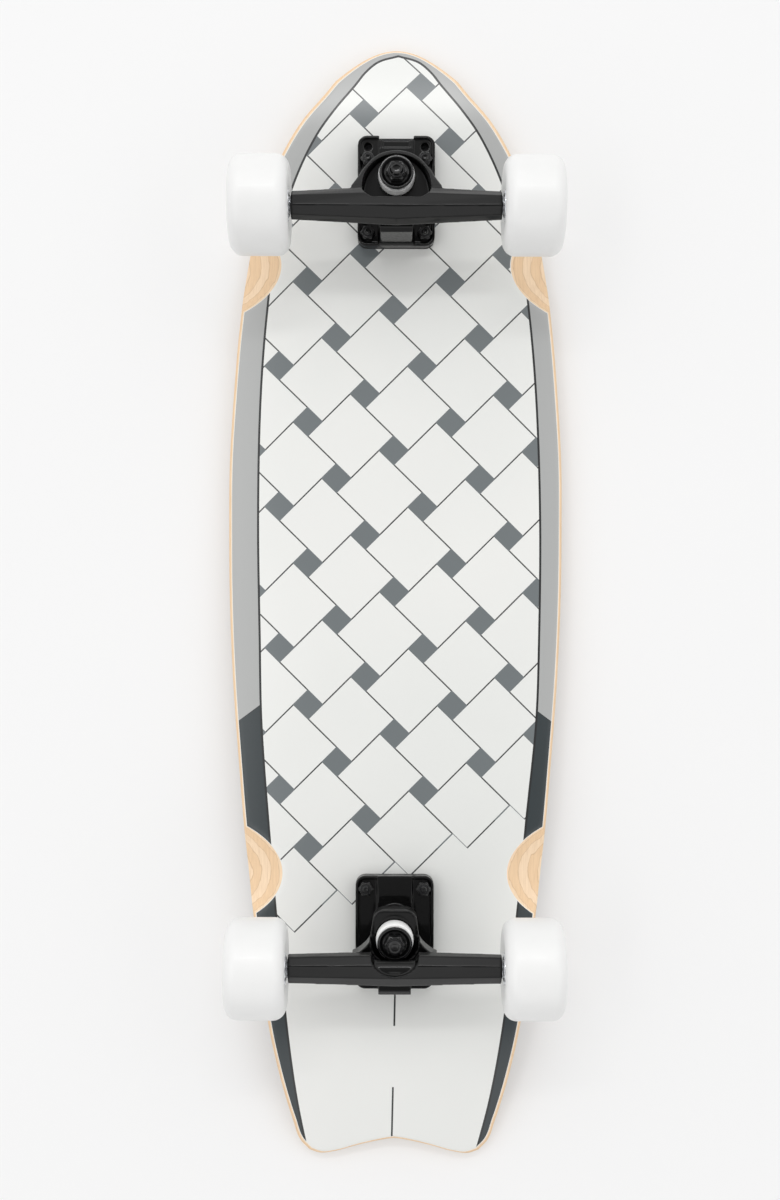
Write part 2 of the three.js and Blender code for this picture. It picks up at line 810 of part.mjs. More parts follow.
// Rear hanger: a collared ring inboard of the beam, and a pocket for the nut in the beam
function makeRearHanger(truck) {
  const collar = ringCollarWidth / 2;
  const beamStart = truck.axlePlace - truck.ringPlace - rearBeamWidth / 2;
  const ring = new THREE.Shape();
  const shoulder = ringShoulderWidth / 2;
  const corner = { x: shoulder - ringCornerRadius, y: ringCornerRadius - ringReach };
  ring.moveTo(-collar, ringTail);
  ring.lineTo(-collar, ringFlareStart);
  ring.lineTo(-shoulder, corner.y);
  ring.absarc(-corner.x, corner.y, ringCornerRadius, Math.PI, (3 * Math.PI) / 2);
  ring.absarc(corner.x, corner.y, ringCornerRadius, (3 * Math.PI) / 2, 2 * Math.PI);
  ring.lineTo(collar, ringFlareStart);
  ring.lineTo(collar, ringTail);
  const ringOutline = new THREE.Shape(ring.getPoints(smallSteps));
  const flareEnd = beamStart + ringFlareOverlap;
  const side = flareShares.map(([x, y]) => new THREE.Vector2(
    THREE.MathUtils.lerp(collar, ringFlareWidth / 2, x),
    THREE.MathUtils.lerp(ringFlareStart, flareEnd, y),
  ));
  const otherSide = side.map(({ x, y }) => new THREE.Vector2(-x, y)).reverse();
  const flare = new THREE.Shape();
  flare.moveTo(-side[0].x, side[0].y);
  flare.lineTo(side[0].x, side[0].y);
  flare.splineThru(side.slice(1));
  flare.lineTo(ringFlareWidth / 2, beamStart + rearBeamWidth / 2);
  flare.lineTo(-ringFlareWidth / 2, beamStart + rearBeamWidth / 2);
  flare.lineTo(-ringFlareWidth / 2, flareEnd);
  flare.splineThru(otherSide.slice(1));
  const flareOutline = new THREE.Shape(flare.getPoints(archSteps));
  const neck = [
    [truck.ringPlace + ringThickness, truck.ringHeight - ringTop],
    [truck.axlePlace + ringTop, truck.pivotHeight + ringTop],
    [truck.axlePlace + ringThickness, truck.pivotHeight + ringThickness],
    [truck.axlePlace + rearBeamWidth / 3, axleHeight - beamHeight / 3],
    [truck.axlePlace, axleHeight],
    [truck.axlePlace - rearBeamWidth / 3, axleHeight],
    [truck.ringPlace + ringThickness, truck.ringHeight + ringTop],
  ];
  const shaped = joined(
    beam(rearBeamWidth, truck.axlePlace, rearRidgeShare),
    onKingpin(truck, slab(ringOutline, -ringTop, ringTop + ringCollarHeight)),
    onKingpin(truck, slab(flareOutline, ringTop, ringFlareHeight)),
    sidePlate(neck, neckWidth),
    pivotNose(truck),
  );
  const pocketLow = ringTop + ringCollarHeight;
  const round = pillar(truck.pocketDiameter / 2, pocketLow, 2 * axleHeight);
  const pocket = onKingpin(truck, round.scale(1, rearPocketLength / truck.pocketDiameter, 1));
  const seat = onKingpin(truck, pillar(bushingDiameter / 2 + seatGap, ringTop, axleHeight));
  const pocketed = cut(shaped, pocket, seat);
  const sleeve = alongX(pillar(axleSleeveDiameter / 2, -ringFlareWidth / 2, ringFlareWidth / 2));
  const whole = pocketed.add(closed(sleeve.translate(0, truck.axlePlace, axleHeight)));
  return piece("rear_hanger", cut(whole, ...hangerCutters(truck)), finishes.castBlack);
}

function makeAxle(truck) {
  const rod = alongX(pillar(axleDiameter / 2, -axleEnd, axleEnd));
  return piece(`${truck.name}_axle`, rod.translate(0, truck.axlePlace, axleHeight), finishes.steel);
}

// Wheel pieces, drawn on the axle with x from the board's centreline

function onAxle(truck, side, geometry) {
  const placed = alongX(geometry);
  if (side < 0) placed.rotateZ(Math.PI);
  return placed.translate(0, truck.axlePlace, axleHeight);
}

function lipArc(centre, from, to) {
  const arc = new THREE.Path();
  arc.absarc(wheelDiameter / 2 - wheelLipRadius, centre, wheelLipRadius, from, to, false);
  return arc.getPoints(lipSteps).map(({ x, y }) => [x, y]);
}

function makeWheel(truck, side, name) {
  const seat = bearingDiameter / 2 + seatGap;
  const shoulder = (bearingDiameter + spacerDiameter) / 4;
  const hub = hubFaceDiameter / 2;
  const recess = hubRecessDiameter / 2;
  const seatEnd = outerBearingInner + bearingWidth;
  const profile = [
    [seat, wheelInner + hubFaceDepth],
    [hub, wheelInner],
    ...lipArc(wheelInner + wheelLipRadius, -Math.PI / 2, 0).slice(1),
    ...lipArc(wheelOuter - wheelLipRadius, 0, Math.PI / 2).slice(0, -1),
    [hub, wheelOuter],
    [recess + hubRecessFlare, wheelOuter - hubFaceDepth],
    [recess, seatEnd + hubRecessFlare],
    [recess, seatEnd],
    [seat, seatEnd],
    [seat, outerBearingInner - seatGap],
    [shoulder, outerBearingInner - seatGap],
    [shoulder, spacerInner],
    [seat, spacerInner],
    [seat, wheelInner + hubFaceDepth],
  ];
  return piece(`${name}_wheel`, onAxle(truck, side, turned(profile, wheelSteps)), finishes.urethane);
}

function makeWheelSet(truck, side, name) {
  const bore = axleDiameter / 2 + seatGap;
  const outer = bearingDiameter / 2;
  const firstEnd = bearingInner + bearingWidth;
  const lastEnd = outerBearingInner + bearingWidth;
  const nutEnd = axleNutInner + axleNutHeight;
  const nut = cut(
    closed(hexagon(axleNutAcrossFlats, axleNutInner, nutEnd)),
    pillar(bore, axleNutInner - cutOverrun, nutEnd + cutOverrun, smallSteps),
  );
  const spacerEnd = spacerInner + spacerLength;
  const rings = [
    ["inner_bearing", ringProfile(bore, outer, bearingInner, firstEnd)],
    ["bearing_spacer", ringProfile(bore, spacerDiameter / 2, spacerInner, spacerEnd)],
    ["outer_bearing", ringProfile(bore, outer, outerBearingInner, lastEnd)],
  ];
  return [
    makeWheel(truck, side, name),
    ...rings.map(([part, profile]) => {
      return piece(`${name}_${part}`, onAxle(truck, side, turned(profile, roundSteps)), finishes.steel);
    }),
    piece(`${name}_axle_nut`, onAxle(truck, side, geometryOf(nut)), finishes.steel),
  ];
}

// Mounting bolts: heads sunk in the grip side, locknuts on the baseplate
function makeBoltSet(truck, [x, y], name) {
  const headLow = -deckThickness + seatGap;
  const nutLow = plateTop + seatGap;
  const nutHigh = nutLow + locknutHeight;
  const profile = [
    [0, headLow],
    [boltHeadDiameter / 2, headLow],
    [boltDiameter / 2, headLow + boltHeadHeight],
    [boltDiameter / 2, nutHigh + boltTail],
    [0, nutHigh + boltTail],
  ];
  const bolt = turned(profile, smallSteps).translate(x, y, 0);
  const nut = cut(
    closed(hexagon(locknutAcrossFlats, nutLow, nutHigh)),
    pillar(boltDiameter / 2 + seatGap, nutLow - cutOverrun, nutHigh + cutOverrun, smallSteps),
  );
  const placedNut = geometryOf(nut).translate(x, y, 0);
  return [
    piece(`${name}_bolt`, bolt, finishes.steelBlack),
    piece(`${name}_locknut`, placedNut, finishes.steelBlack),
  ];
}

const frontTruck = {
  name: "front",
  axlePlace: frontAxlePlace,
  ringPlace: frontRingPlace,
  ringHeight: frontRingHeight,
  kingpinLean: frontKingpinLean,
  pivotPlace: frontPivotPlace,
  pivotHeight: frontPivotHeight,
  pocketDiameter: frontPocketDiameter,
  towerSpan: [towerInset - plateInnerReach, frontPivotPlace + towerWall],
  towerTop: frontPivotHeight + frontTowerRise,
  openChannel: true,
  makeHanger: makeFrontHanger,
};
const rearTruck = {
  name: "rear",
  axlePlace: rearAxlePlace,
  ringPlace: rearRingPlace,
  ringHeight: rearRingHeight,
  kingpinLean: rearKingpinLean,
  pivotPlace: rearPivotPlace,
  pivotHeight: rearPivotHeight,
  pocketDiameter: rearPocketDiameter,
  towerSpan: [rearPivotPlace - rearTowerReach, plateOuterReach + towerOverhang],
  towerTop: rearPivotHeight + rearTowerRise,
  openChannel: false,
  makeHanger: makeRearHanger,
};

function makeTruck(truck, turnedRound) {
  const group = new THREE.Group();
  group.add(
    makeRiser(truck),
    makeBaseplate(truck),
    makePivotCup(truck),
    makeKingpin(truck),
    makeKingpinNut(truck),
    makeFlatWasher("board_washer", truck, boardWasherTop - washerThickness),
    makeBushing("board_bushing", truck, boardBushingBottom, boardBushingTop),
    makeBushing("road_bushing", truck, roadBushingBottom, roadBushingTop),
    makeWasher("road_washer", truck, roadWasherBottom, 1),
    truck.makeHanger(truck),
    makeAxle(truck),
  );
  for (const side of [-1, 1]) {
    const rightHand = side > 0 !== turnedRound;
    const corner = `${truck.name}_${rightHand ? "right" : "left"}`;
    group.add(...makeWheelSet(truck, side, corner));
  }
  for (const [x, y] of boltPlaces(0)) {
    const hand = x > 0 !== turnedRound ? "right" : "left";
    const end = y > 0 ? "outer" : "inner";
    group.add(...makeBoltSet(truck, [x, y], `${truck.name}_${hand}_${end}`));
  }
  return group;
}

// The whole board, leaned so that its nose tip and tail tips stand on the ground

const board = new THREE.Group();
const frontGroup = makeTruck(frontTruck, false);
frontGroup.position.y = frontPatternPlace;
const rearGroup = makeTruck(rearTruck, true);
rearGroup.position.y = -rearPatternPlace;
rearGroup.rotation.z = Math.PI;
board.add(makeDeck(), makeGrip(), frontGroup, rearGroup);

const [gripDepth, gripEdge, gripTrim] = gripLayers[0];
const noseTip = deckPoint(0, 1, gripEdge + gripTrim, gripDepth);
const [lobeShare] = swallowShares.find(([, depth]) => depth === 1);
const tailTip = deckPoint(lobeShare, 0, gripEdge + gripTrim, gripDepth);
board.rotation.x = Math.atan2(tailTip.z - noseTip.z, noseTip.y - tailTip.y);

const surfSkateboard = new THREE.Group();
surfSkateboard.add(board);
surfSkateboard.updateMatrixWorld(true);
const extent = new THREE.Box3().setFromObject(board, true);
const middle = extent.getCenter(new THREE.Vector3());
board.position.set(-middle.x, -middle.y, -extent.min.z);
surfSkateboard.updateMatrixWorld(true);

export default surfSkateboard;
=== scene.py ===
"""Looks of a surf skateboard that lies grip side down, with its trucks and wheels up.

Metres, +Z up, +Y to the nose. A truck's own frame has +Y outboard and z from the deck's underside.
"""
import json
import math

import bmesh
import bpy
import numpy as np
from mathutils import Matrix, Vector


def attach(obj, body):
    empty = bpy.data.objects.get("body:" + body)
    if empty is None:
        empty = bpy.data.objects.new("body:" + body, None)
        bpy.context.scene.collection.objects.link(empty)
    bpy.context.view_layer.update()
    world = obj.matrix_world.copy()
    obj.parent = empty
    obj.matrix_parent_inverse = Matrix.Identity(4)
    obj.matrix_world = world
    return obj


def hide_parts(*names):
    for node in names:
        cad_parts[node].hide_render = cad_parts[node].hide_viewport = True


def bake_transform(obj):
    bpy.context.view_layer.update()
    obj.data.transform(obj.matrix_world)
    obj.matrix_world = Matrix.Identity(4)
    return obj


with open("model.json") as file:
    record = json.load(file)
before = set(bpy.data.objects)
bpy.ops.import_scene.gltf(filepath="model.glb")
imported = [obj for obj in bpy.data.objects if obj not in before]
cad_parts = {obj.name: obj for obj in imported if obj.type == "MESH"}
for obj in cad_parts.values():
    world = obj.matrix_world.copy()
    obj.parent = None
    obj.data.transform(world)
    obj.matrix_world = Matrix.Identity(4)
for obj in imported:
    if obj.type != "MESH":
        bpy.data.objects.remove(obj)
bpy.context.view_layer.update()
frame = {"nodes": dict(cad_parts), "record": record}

TURN = 2 * math.pi
# Points closer together than this are one
HAIR = 1e-7

# Deck
BOARD_LENGTH = 0.813
BOARD_WIDTH = 0.244
DECK_THICKNESS = 0.011
DECK_EDGE_RADIUS = 0.0032
FLAT_STRIP_WIDTH = 0.070
CONCAVE_DEPTH = 0.008
NOSE_KICK = {"start": 0.345, "radius": 0.060, "degrees": 13}
TAIL_KICK = {"start": 0.292, "radius": 0.080, "degrees": 24}
NOSE_CORNER_WIDTH = 0.090
NOSE_TIP_RADIUS = 0.034
NOSE_FLANK_SLOPE = 1.19
TAIL_CORNER_WIDTH = 0.1248
TAIL_NOTCH_DEPTH = 0.0124
# Half the deck's width at places along it, both as shares of half the board's size
RAIL_SHARES = [
    (-0.975, 0.564), (-0.935, 0.608), (-0.896, 0.645), (-0.838, 0.6925), (-0.764, 0.744),
    (-0.5685, 0.838), (-0.405, 0.9), (-0.287, 0.9345), (-0.145, 0.971), (0, 0.9935),
    (0.14, 1.0), (0.25, 0.998), (0.365, 0.977), (0.49, 0.943), (0.62, 0.884),
    (0.764, 0.755), (0.83, 0.65), (0.8725, 0.5585), (0.9165, 0.4335),
]
# How far the tail's end stands out past its notch, from the middle to the corner
SWALLOW_SHARES = [(0, 0), (0.105, 0.076), (0.42, 0.457), (0.705, 0.886), (0.876, 1), (1, 0.79)]
WELL_LENGTH = 0.0685
WELL_REACH = 0.026
WELL_DEPTH = 0.006
WELL_CENTRES = [0.246, -0.197]
GRIP_THICKNESS = 0.0009
GRIP_INSET = 0.0012
GRIP_EDGE_RADIUS = 0.0003
GRIP_EDGE_STEPS = 2
SEAT_GAP = 0.0003
SMALL_ROUND = 0.0002
DECK_COLUMNS = 96
DECK_ROWS = 330
GRIP_COLUMNS = 72
GRIP_ROWS = 240
EDGE_STEPS = 6
CENTRELINE_STEPS = 2000
PINLINE_STEPS = 900

# Trucks
BOLT_PATTERN_LENGTH = 0.05398
BOLT_PATTERN_WIDTH = 0.04128
BOLT_DIAMETER = 0.0048
BOLT_HEAD_DIAMETER = 0.0094
BOLT_HEAD_HEIGHT = 0.0026
BOLT_HEAD_CHAMFER = {"width": 0.0002, "height": 0.0003}
BOLT_SOCKET = {"mouth": 0.0018, "wall": 0.0015, "lip": 0.0002, "floor": 0.0011, "depth": 0.0018}
BOLT_HOLLOW = {"mouth": 0.0014, "floor": 0.0011, "wall": 0.001, "depth": 0.0013}
BOLT_CHAMFER = 0.0006
BOLT_TAIL = 0.0016
GRIP_HOLE_RADIUS = 0.0057
LOCKNUT_ACROSS_FLATS = 0.0095
LOCKNUT_HEIGHT = 0.0052
THREAD_PITCH = 0.0008
RISER_THICKNESS = 0.003
PLATE_THICKNESS = 0.0055
PATTERN_PLACES = {"front": 0.2935, "rear": -0.233}
KINGPIN_DIAMETER = 0.0095
KINGPIN_TAIL = 0.0014
KINGPIN_CHAMFER = 0.0009
KINGPIN_HOLLOW = {"mouth": 0.0028, "floor": 0.0024, "wall": 0.0022, "depth": 0.0028}
KINGPIN_THREAD_PITCH = 0.001
KINGPIN_THREAD_START = 0.001
KINGPIN_HEAD_ACROSS_FLATS = 0.014
KINGPIN_HEAD_FACE_RADIUS = 0.0066
KINGPIN_HEAD_CHAMFER = 0.0006
KINGPIN_HEAD_HEIGHT = 0.0046
KINGPIN_NUT_ACROSS_FLATS = 0.013
KINGPIN_NUT_HEIGHT = 0.007
WASHER_DIAMETER = 0.0242
WASHER_THICKNESS = 0.0015
WASHER_RIM_HEIGHT = 0.0034
WASHER_ROUNDS = {"bore": 0.0003, "rim": 0.0005, "bend": 0.0016, "lip": 0.001}
BUSHING_DIAMETER = 0.0264
BUSHING_BULGE = 0.0005
BUSHING_ROUNDS = {"bore": 0.0004, "rim": 0.0012, "side": 0.02}
BOARD_BUSHING_HEIGHT = 0.012
ROAD_BUSHING_HEIGHT = 0.010
RING_THICKNESS = 0.008
HANGER_WIDTH = 0.146
AXLE_HEIGHT = 0.062
PIVOT_NOSE_TIP_DIAMETER = 0.0096
PIVOT_CUP_WALL = 0.002
PIVOT_CUP_DEPTH = 0.009
PIVOT_CUP_ROUNDS = {"floor": 0.001, "bore": 0.0004, "rim": 0.0006}
TRUCKS = {
    "front": {"axle": -0.021, "ring": (0.0056, 0.0305), "lean": 3, "pivot": (-0.0265, 0.0395)},
    "rear": {"axle": 0.0195, "ring": (0.0014, 0.034), "lean": 11, "pivot": (0.037, 0.020)},
}

# Voxel size and smoothing passes of castings and mouldings
PAD_SOFTNESS = (0.0005, 2)
PLATE_SOFTNESS = (0.0005, 4)
HANGER_SOFTNESS = (0.0006, 6)

# Locknuts: radii are shares of half the width across flats
NUT_FACE = 0.96
NUT_COLLAR_FOOT = 0.97
NUT_COLLAR_SIDE = 0.9
NUT_COLLAR_TOP = 0.86
NUT_COLLAR_HEIGHT_SHARE = 0.26
NUT_LIP_SHARE = 0.42
NUT_CHAMFERS = {"face": 0.0005, "collar": 0.0006}
NUT_ROUNDS = {"foot": 0.0003, "top": 0.0008, "lip": 0.0003}
NUT_LIP_DEPTH = 0.0007
NYLON_BORE_SHARE = 0.96
NYLON_DEPTHS = {"bottom": 0.0012, "rim": 0.0003, "bore": 0.0002}

# Axles and wheels
AXLE_DIAMETER = 0.008
AXLE_TAIL = 0.0012
AXLE_CHAMFER = 0.0008
AXLE_THREAD_START = 0.0015
AXLE_NUT_ACROSS_FLATS = 0.0127
AXLE_NUT_HEIGHT = 0.006
SPEED_RING_ROOM = 0.0009
SPEED_RING_THICKNESS = 0.0008
SPEED_RING_RADIUS = 0.0064
RUNNING_FIT = 0.0001
WHEEL_DIAMETER = 0.069
WHEEL_WIDTH = 0.0415
WHEEL_LIP_RADIUS = 0.009
WHEEL_LIP_DEGREES = 86
WHEEL_OFFSET = 0.0008
HUB_RECESS_DIAMETER = 0.027
HUB_RECESS_FLARE = 0.005
HUB_FACE_DIAMETER = 0.052
HUB_FACE_DEPTH = 0.0016
HUB_ROUNDS = {"face": 0.003, "recess": 0.004, "floor": 0.0006, "seat": 0.0003, "inner": 0.0008}
BEARING_DIAMETER = 0.022
BEARING_WIDTH = 0.007
BEARING_RACE_RADII = {"inner": 0.0061, "outer": 0.0094}
BEARING_ROUND = 0.0004
SHIELD_SINK = 0.0004
SPACER_LENGTH = 0.0094
SPACER_DIAMETER = 0.011

half_length = BOARD_LENGTH / 2
half_width = BOARD_WIDTH / 2
plate_bottom = RISER_THICKNESS + 2 * SEAT_GAP
plate_top = plate_bottom + PLATE_THICKNESS
wheel_inner = HANGER_WIDTH / 2 + WHEEL_OFFSET
wheel_outer = wheel_inner + WHEEL_WIDTH
bearing_inner = HANGER_WIDTH / 2 + SPEED_RING_ROOM + SEAT_GAP
spacer_inner = bearing_inner + BEARING_WIDTH + SEAT_GAP
outer_bearing_inner = spacer_inner + SPACER_LENGTH + SEAT_GAP
axle_nut_inner = outer_bearing_inner + BEARING_WIDTH + SPEED_RING_ROOM
axle_end = axle_nut_inner + AXLE_NUT_HEIGHT + AXLE_TAIL
ring_top = RING_THICKNESS / 2
board_bushing_top = -ring_top - SEAT_GAP
board_bushing_bottom = board_bushing_top - BOARD_BUSHING_HEIGHT
board_washer_top = board_bushing_bottom - SEAT_GAP
road_bushing_bottom = ring_top + SEAT_GAP
road_bushing_top = road_bushing_bottom + ROAD_BUSHING_HEIGHT
road_washer_bottom = road_bushing_top + SEAT_GAP
kingpin_nut_bottom = road_washer_bottom + WASHER_THICKNESS + SEAT_GAP
kingpin_nut_top = kingpin_nut_bottom + KINGPIN_NUT_HEIGHT
kingpin_top = kingpin_nut_top + KINGPIN_TAIL

# The deck's own frame: the middle of its underside, leaned as the board lies on its tips
underside = next(m for m in frame["record"]["mounts"] if m["name"] == "deck_underside")
board_lean = -math.asin(underside["axis"][1])
BOARD = Matrix.Translation(underside["pos_m"]) @ Matrix.Rotation(board_lean, 4, "X")


def truck_frame(truck):
    """The frame of a truck, in the middle of its bolts on the deck's underside."""
    turned = Matrix.Rotation(0 if truck == "front" else math.pi, 4, "Z")
    return BOARD @ Matrix.Translation((0, PATTERN_PLACES[truck], 0)) @ turned


def kingpin_frame(truck):
    """The frame of a kingpin, with Z along it from the middle of the hanger's ring."""
    place, height = TRUCKS[truck]["ring"]
    lean = Matrix.Rotation(-math.radians(TRUCKS[truck]["lean"]), 4, "X")
    return truck_frame(truck) @ Matrix.Translation((0, place, height)) @ lean


def pivot_frame(truck):
    """The frame of a pivot, with Z along the line that its hanger tilts on."""
    place, height = TRUCKS[truck]["pivot"]
    ring_place, ring_height = TRUCKS[truck]["ring"]
    lean = math.atan2(place - ring_place, height - ring_height)
    turned = Matrix.Rotation(-lean, 4, "X")
    return truck_frame(truck) @ Matrix.Translation((0, place, height)) @ turned


def axle_frame(truck, outwards):
    """The frame of one half of an axle, with Z outwards from the middle of the hanger."""
    half_turn = Matrix.Rotation(0 if outwards > 0 else math.pi, 4, "Z")
    middle = Matrix.Translation((0, TRUCKS[truck]["axle"], AXLE_HEIGHT))
    return truck_frame(truck) @ middle @ half_turn @ Matrix.Rotation(math.pi / 2, 4, "Y")


# Shader maths


class Value:
    """A number that varies over a surface. Python's operators add Math nodes to it."""

    def __init__(self, paint, socket):
        self.paint = paint
        self.socket = socket

    def math(self, operation, *others):
        return self.paint.math(operation, self, *others)

    def __add__(self, other):
        return self.math("ADD", other)

    def __sub__(self, other):
        return self.math("SUBTRACT", other)

    def __mul__(self, other):
        return self.math("MULTIPLY", other)

    def __truediv__(self, other):
        return self.math("DIVIDE", other)

    def __rsub__(self, other):
        return self.paint.math("SUBTRACT", other, self)

    def __gt__(self, other):
        return self.math("GREATER_THAN", other)

    def __lt__(self, other):
        return self.math("LESS_THAN", other)

    def __abs__(self):
        return self.math("ABSOLUTE")


class Paint:
    """A material, and the one way to add nodes to it."""

    def __init__(self, name, **constants):
        self.material = bpy.data.materials.new(name)
        self.material.use_nodes = True
        self.tree = self.material.node_tree
        self.surface = self.tree.nodes["Principled BSDF"]
        for socket, value in constants.items():
            self.surface.inputs[socket.replace("_", " ")].default_value = value

    def node(self, kind, settings=None, inputs=None):
        made = self.tree.nodes.new(kind)
        for setting, value in (settings or {}).items():
            setattr(made, setting, value)
        for socket, value in (inputs or {}).items():
            self.link(value, made.inputs[socket])
        return made

    def link(self, value, socket):
        """Gives a socket a Value, another node's socket, a colour or a number."""
        if isinstance(value, Value):
            value = value.socket
        if isinstance(value, bpy.types.NodeSocket):
            self.tree.links.new(value, socket)
            return
        old = socket.default_value
        lacks_alpha = hasattr(old, "__len__") and len(old) == len(value) + 1
        socket.default_value = (*value, 1) if lacks_alpha else value

    def math(self, operation, *values):
        made = self.node("ShaderNodeMath", {"operation": operation}, dict(enumerate(values)))
        return Value(self, made.outputs[0])

    def attribute(self, name):
        made = self.node("ShaderNodeAttribute", {"attribute_name": name})
        return Value(self, made.outputs["Fac"])

    def place(self, scale):
        """Object coordinates, stretched by scale."""
        here = self.node("ShaderNodeTexCoord").outputs["Object"]
        return self.node("ShaderNodeMapping", inputs={"Vector": here, "Scale": scale}).outputs[0]

    def noise(self, size, detail=2, scale=(1, 1, 1), roughness=0.5):
        """Soft noise whose blotches are about size across."""
        vector = self.place(scale)
        inputs = {"Vector": vector, "Scale": 1 / size, "Detail": detail, "Roughness": roughness}
        return Value(self, self.node("ShaderNodeTexNoise", inputs=inputs).outputs[0])

    def mix(self, factor, first, second):
        made = self.node("ShaderNodeMix", {"data_type": "RGBA"})
        self.link(factor, made.inputs[0])
        self.link(first, made.inputs[6])
        self.link(second, made.inputs[7])
        return made.outputs[2]

    def ramp(self, value, stops):
        """A colour for each value, through stops of (value, colour)."""
        made = self.node("ShaderNodeValToRGB", inputs={0: value})
        elements = made.color_ramp.elements
        while len(elements) < len(stops):
            elements.new(0)
        for element, (place, colour) in zip(elements, stops):
            element.position = place
            element.color = (*colour, 1)
        return made.outputs[0]

    def spread(self, value, low, high, to_low, to_high):
        """Maps a value's range low to high onto another, clamped."""
        inputs = {"Value": value, 1: low, 2: high, 3: to_low, 4: to_high}
        return Value(self, self.node("ShaderNodeMapRange", inputs=inputs).outputs[0])

    def bump(self, height, depth, strength=1.0):
        inputs = {"Height": height, "Distance": depth, "Strength": strength}
        made = self.node("ShaderNodeBump", inputs=inputs)
        self.link(made.outputs[0], self.surface.inputs["Normal"])

    def set(self, socket, value):
        self.link(value, self.surface.inputs[socket])


def srgb(*levels):
    """Scene colour of a colour that is written in levels of 0 to 255."""
    shares = [level / 255 for level in levels]
    return tuple(s / 12.92 if s < 0.04045 else ((s + 0.055) / 1.055) ** 2.4 for s in shares)


# Mesh helpers


def arc(r, z, radius, start, end, steps=12):
    """Points of a profile's arc about (r, z), between two angles in degrees."""
    turns = [math.radians(start + (end - start) * i / steps) for i in range(steps + 1)]
    return [(r + radius * math.cos(t), z + radius * math.sin(t)) for t in turns]


def filleted(corners, closed=True, steps=4):
    """The points of a profile, from corners of (r, z) or of (r, z, fillet radius)."""
    points = []
    for i, corner in enumerate(corners):
        here = Vector(corner[:2])
        radius = corner[2] if len(corner) > 2 else 0
        on_end = not closed and i in (0, len(corners) - 1)
        if radius == 0 or on_end:
            points.append(tuple(here))
            continue
        back = Vector(corners[i - 1][:2]) - here
        ahead = Vector(corners[(i + 1) % len(corners)][:2]) - here
        half = back.angle(ahead) / 2
        run = min(radius / math.tan(half), back.length * 0.49, ahead.length * 0.49)
        radius = run * math.tan(half)
        inwards = (back.normalized() + ahead.normalized()).normalized()
        middle = here + inwards * radius / math.sin(half)
        first = here + back.normalized() * run - middle
        last = here + ahead.normalized() * run - middle
        sweep = first.angle_signed(last)
        for step in range(steps + 1):
            turned = first.copy()
            turned.rotate(Matrix.Rotation(-sweep * step / steps, 2))
            points.append(tuple(middle + turned))
    return points


def spun(*profiles, closed=True, steps=64):
    """A round shape about Z, from profiles of (r, z) points."""
    bm = bmesh.new()
    for points in profiles:
        line = [bm.verts.new((max(r, 0), 0, z)) for r, z in points]
        pairs = list(zip(line, line[1:]))
        if closed:
            pairs.append((line[-1], line[0]))
        for pair in pairs:
            bm.edges.new(pair)
    axis = {"cent": (0, 0, 0), "axis": (0, 0, 1), "angle": TURN}
    bmesh.ops.spin(bm, geom=bm.verts[:] + bm.edges[:], steps=steps, use_merge=True, **axis)
    bmesh.ops.remove_doubles(bm, verts=bm.verts, dist=HAIR)
    bmesh.ops.recalc_face_normals(bm, faces=bm.faces)
    return bm


def hexed(bm, across_flats):
    """Trims a round shape to a hexagon of that width across flats."""
    for v in bm.verts:
        reach = math.hypot(v.co.x, v.co.y)
        if reach > HAIR:
            from_flat = math.atan2(v.co.y, v.co.x) % (TURN / 6) - TURN / 12
            limit = across_flats / 2 / math.cos(from_flat)
            v.co.xy *= min(1, limit / reach)
    return bm


def thread(radius, low, high, pitch=THREAD_PITCH):
    """Profile points of a thread's ridges from low to high."""
    turns = max(1, round((high - low) / pitch))
    points = []
    for i in range(turns):
        start = low + (high - low) * i / turns
        middle = low + (high - low) * (i + 0.5) / turns
        points += [(radius - pitch * 0.5, start), (radius, middle)]
    return points


def hollow_end(radius, top, chamfer, hollow):
    """Profile points of a rod's chamfered end with a shallow hollow in it."""
    return [
        (radius - chamfer, top), (hollow["mouth"], top), (hollow["floor"], top - hollow["wall"]),
        (0, top - hollow["depth"]),
    ]


def made_mesh(name, bm):
    """A new mesh of a bmesh, which is freed."""
    mesh = bpy.data.meshes.new(name)
    bm.to_mesh(mesh)
    bm.free()
    return mesh


def added(name, data):
    """A new object in the scene."""
    thing = bpy.data.objects.new(name, data)
    bpy.context.scene.collection.objects.link(thing)
    return thing


def modified(thing):
    """The mesh of an object with its modifiers applied."""
    graph = bpy.context.evaluated_depsgraph_get()
    return bpy.data.meshes.new_from_object(thing.evaluated_get(graph))


def finished(name, bm, matrix, paint, nodes=(), body="board", sharp=35):
    """Makes a bmesh a piece of the board: placed, shaded, painted and riding on its body."""
    bmesh.ops.transform(bm, matrix=matrix, verts=bm.verts)
    return dressed(name, made_mesh(name, bm), paint, nodes, body, sharp)


def dressed(name, mesh, paint, nodes=(), body="board", sharp=35):
    """Makes a mesh that is in place a piece of the board."""
    mesh.polygons.foreach_set("use_smooth", [True] * len(mesh.polygons))
    mesh.set_sharp_from_angle(angle=math.radians(sharp))
    mesh.materials.clear()
    mesh.materials.append(paint.material)
    piece = added(name, mesh)
    if nodes:
        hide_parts(*nodes)
    if body:
        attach(piece, body)
    return piece


def cast(name, node, paint, slot, body, voxel, passes):
    """A CAD node's solid with the soft edges of a casting or a moulding."""
    bm = bmesh.new()
    bm.from_mesh(frame["nodes"][node].data)
    bmesh.ops.remove_doubles(bm, verts=bm.verts, dist=HAIR)
    lump = added(name + "_rough", made_mesh(name + "_rough", bm))
    remesh = lump.modifiers.new("remesh", "REMESH")
    remesh.mode = "VOXEL"
    remesh.voxel_size = voxel
    smooth = lump.modifiers.new("smooth", "SMOOTH")
    smooth.factor = 0.5
    smooth.iterations = passes
    mesh = modified(lump)
    bpy.data.objects.remove(lump)
    mesh.name = name
    dressed(name, mesh, paint, [node], body, sharp=80)


# The deck's surface


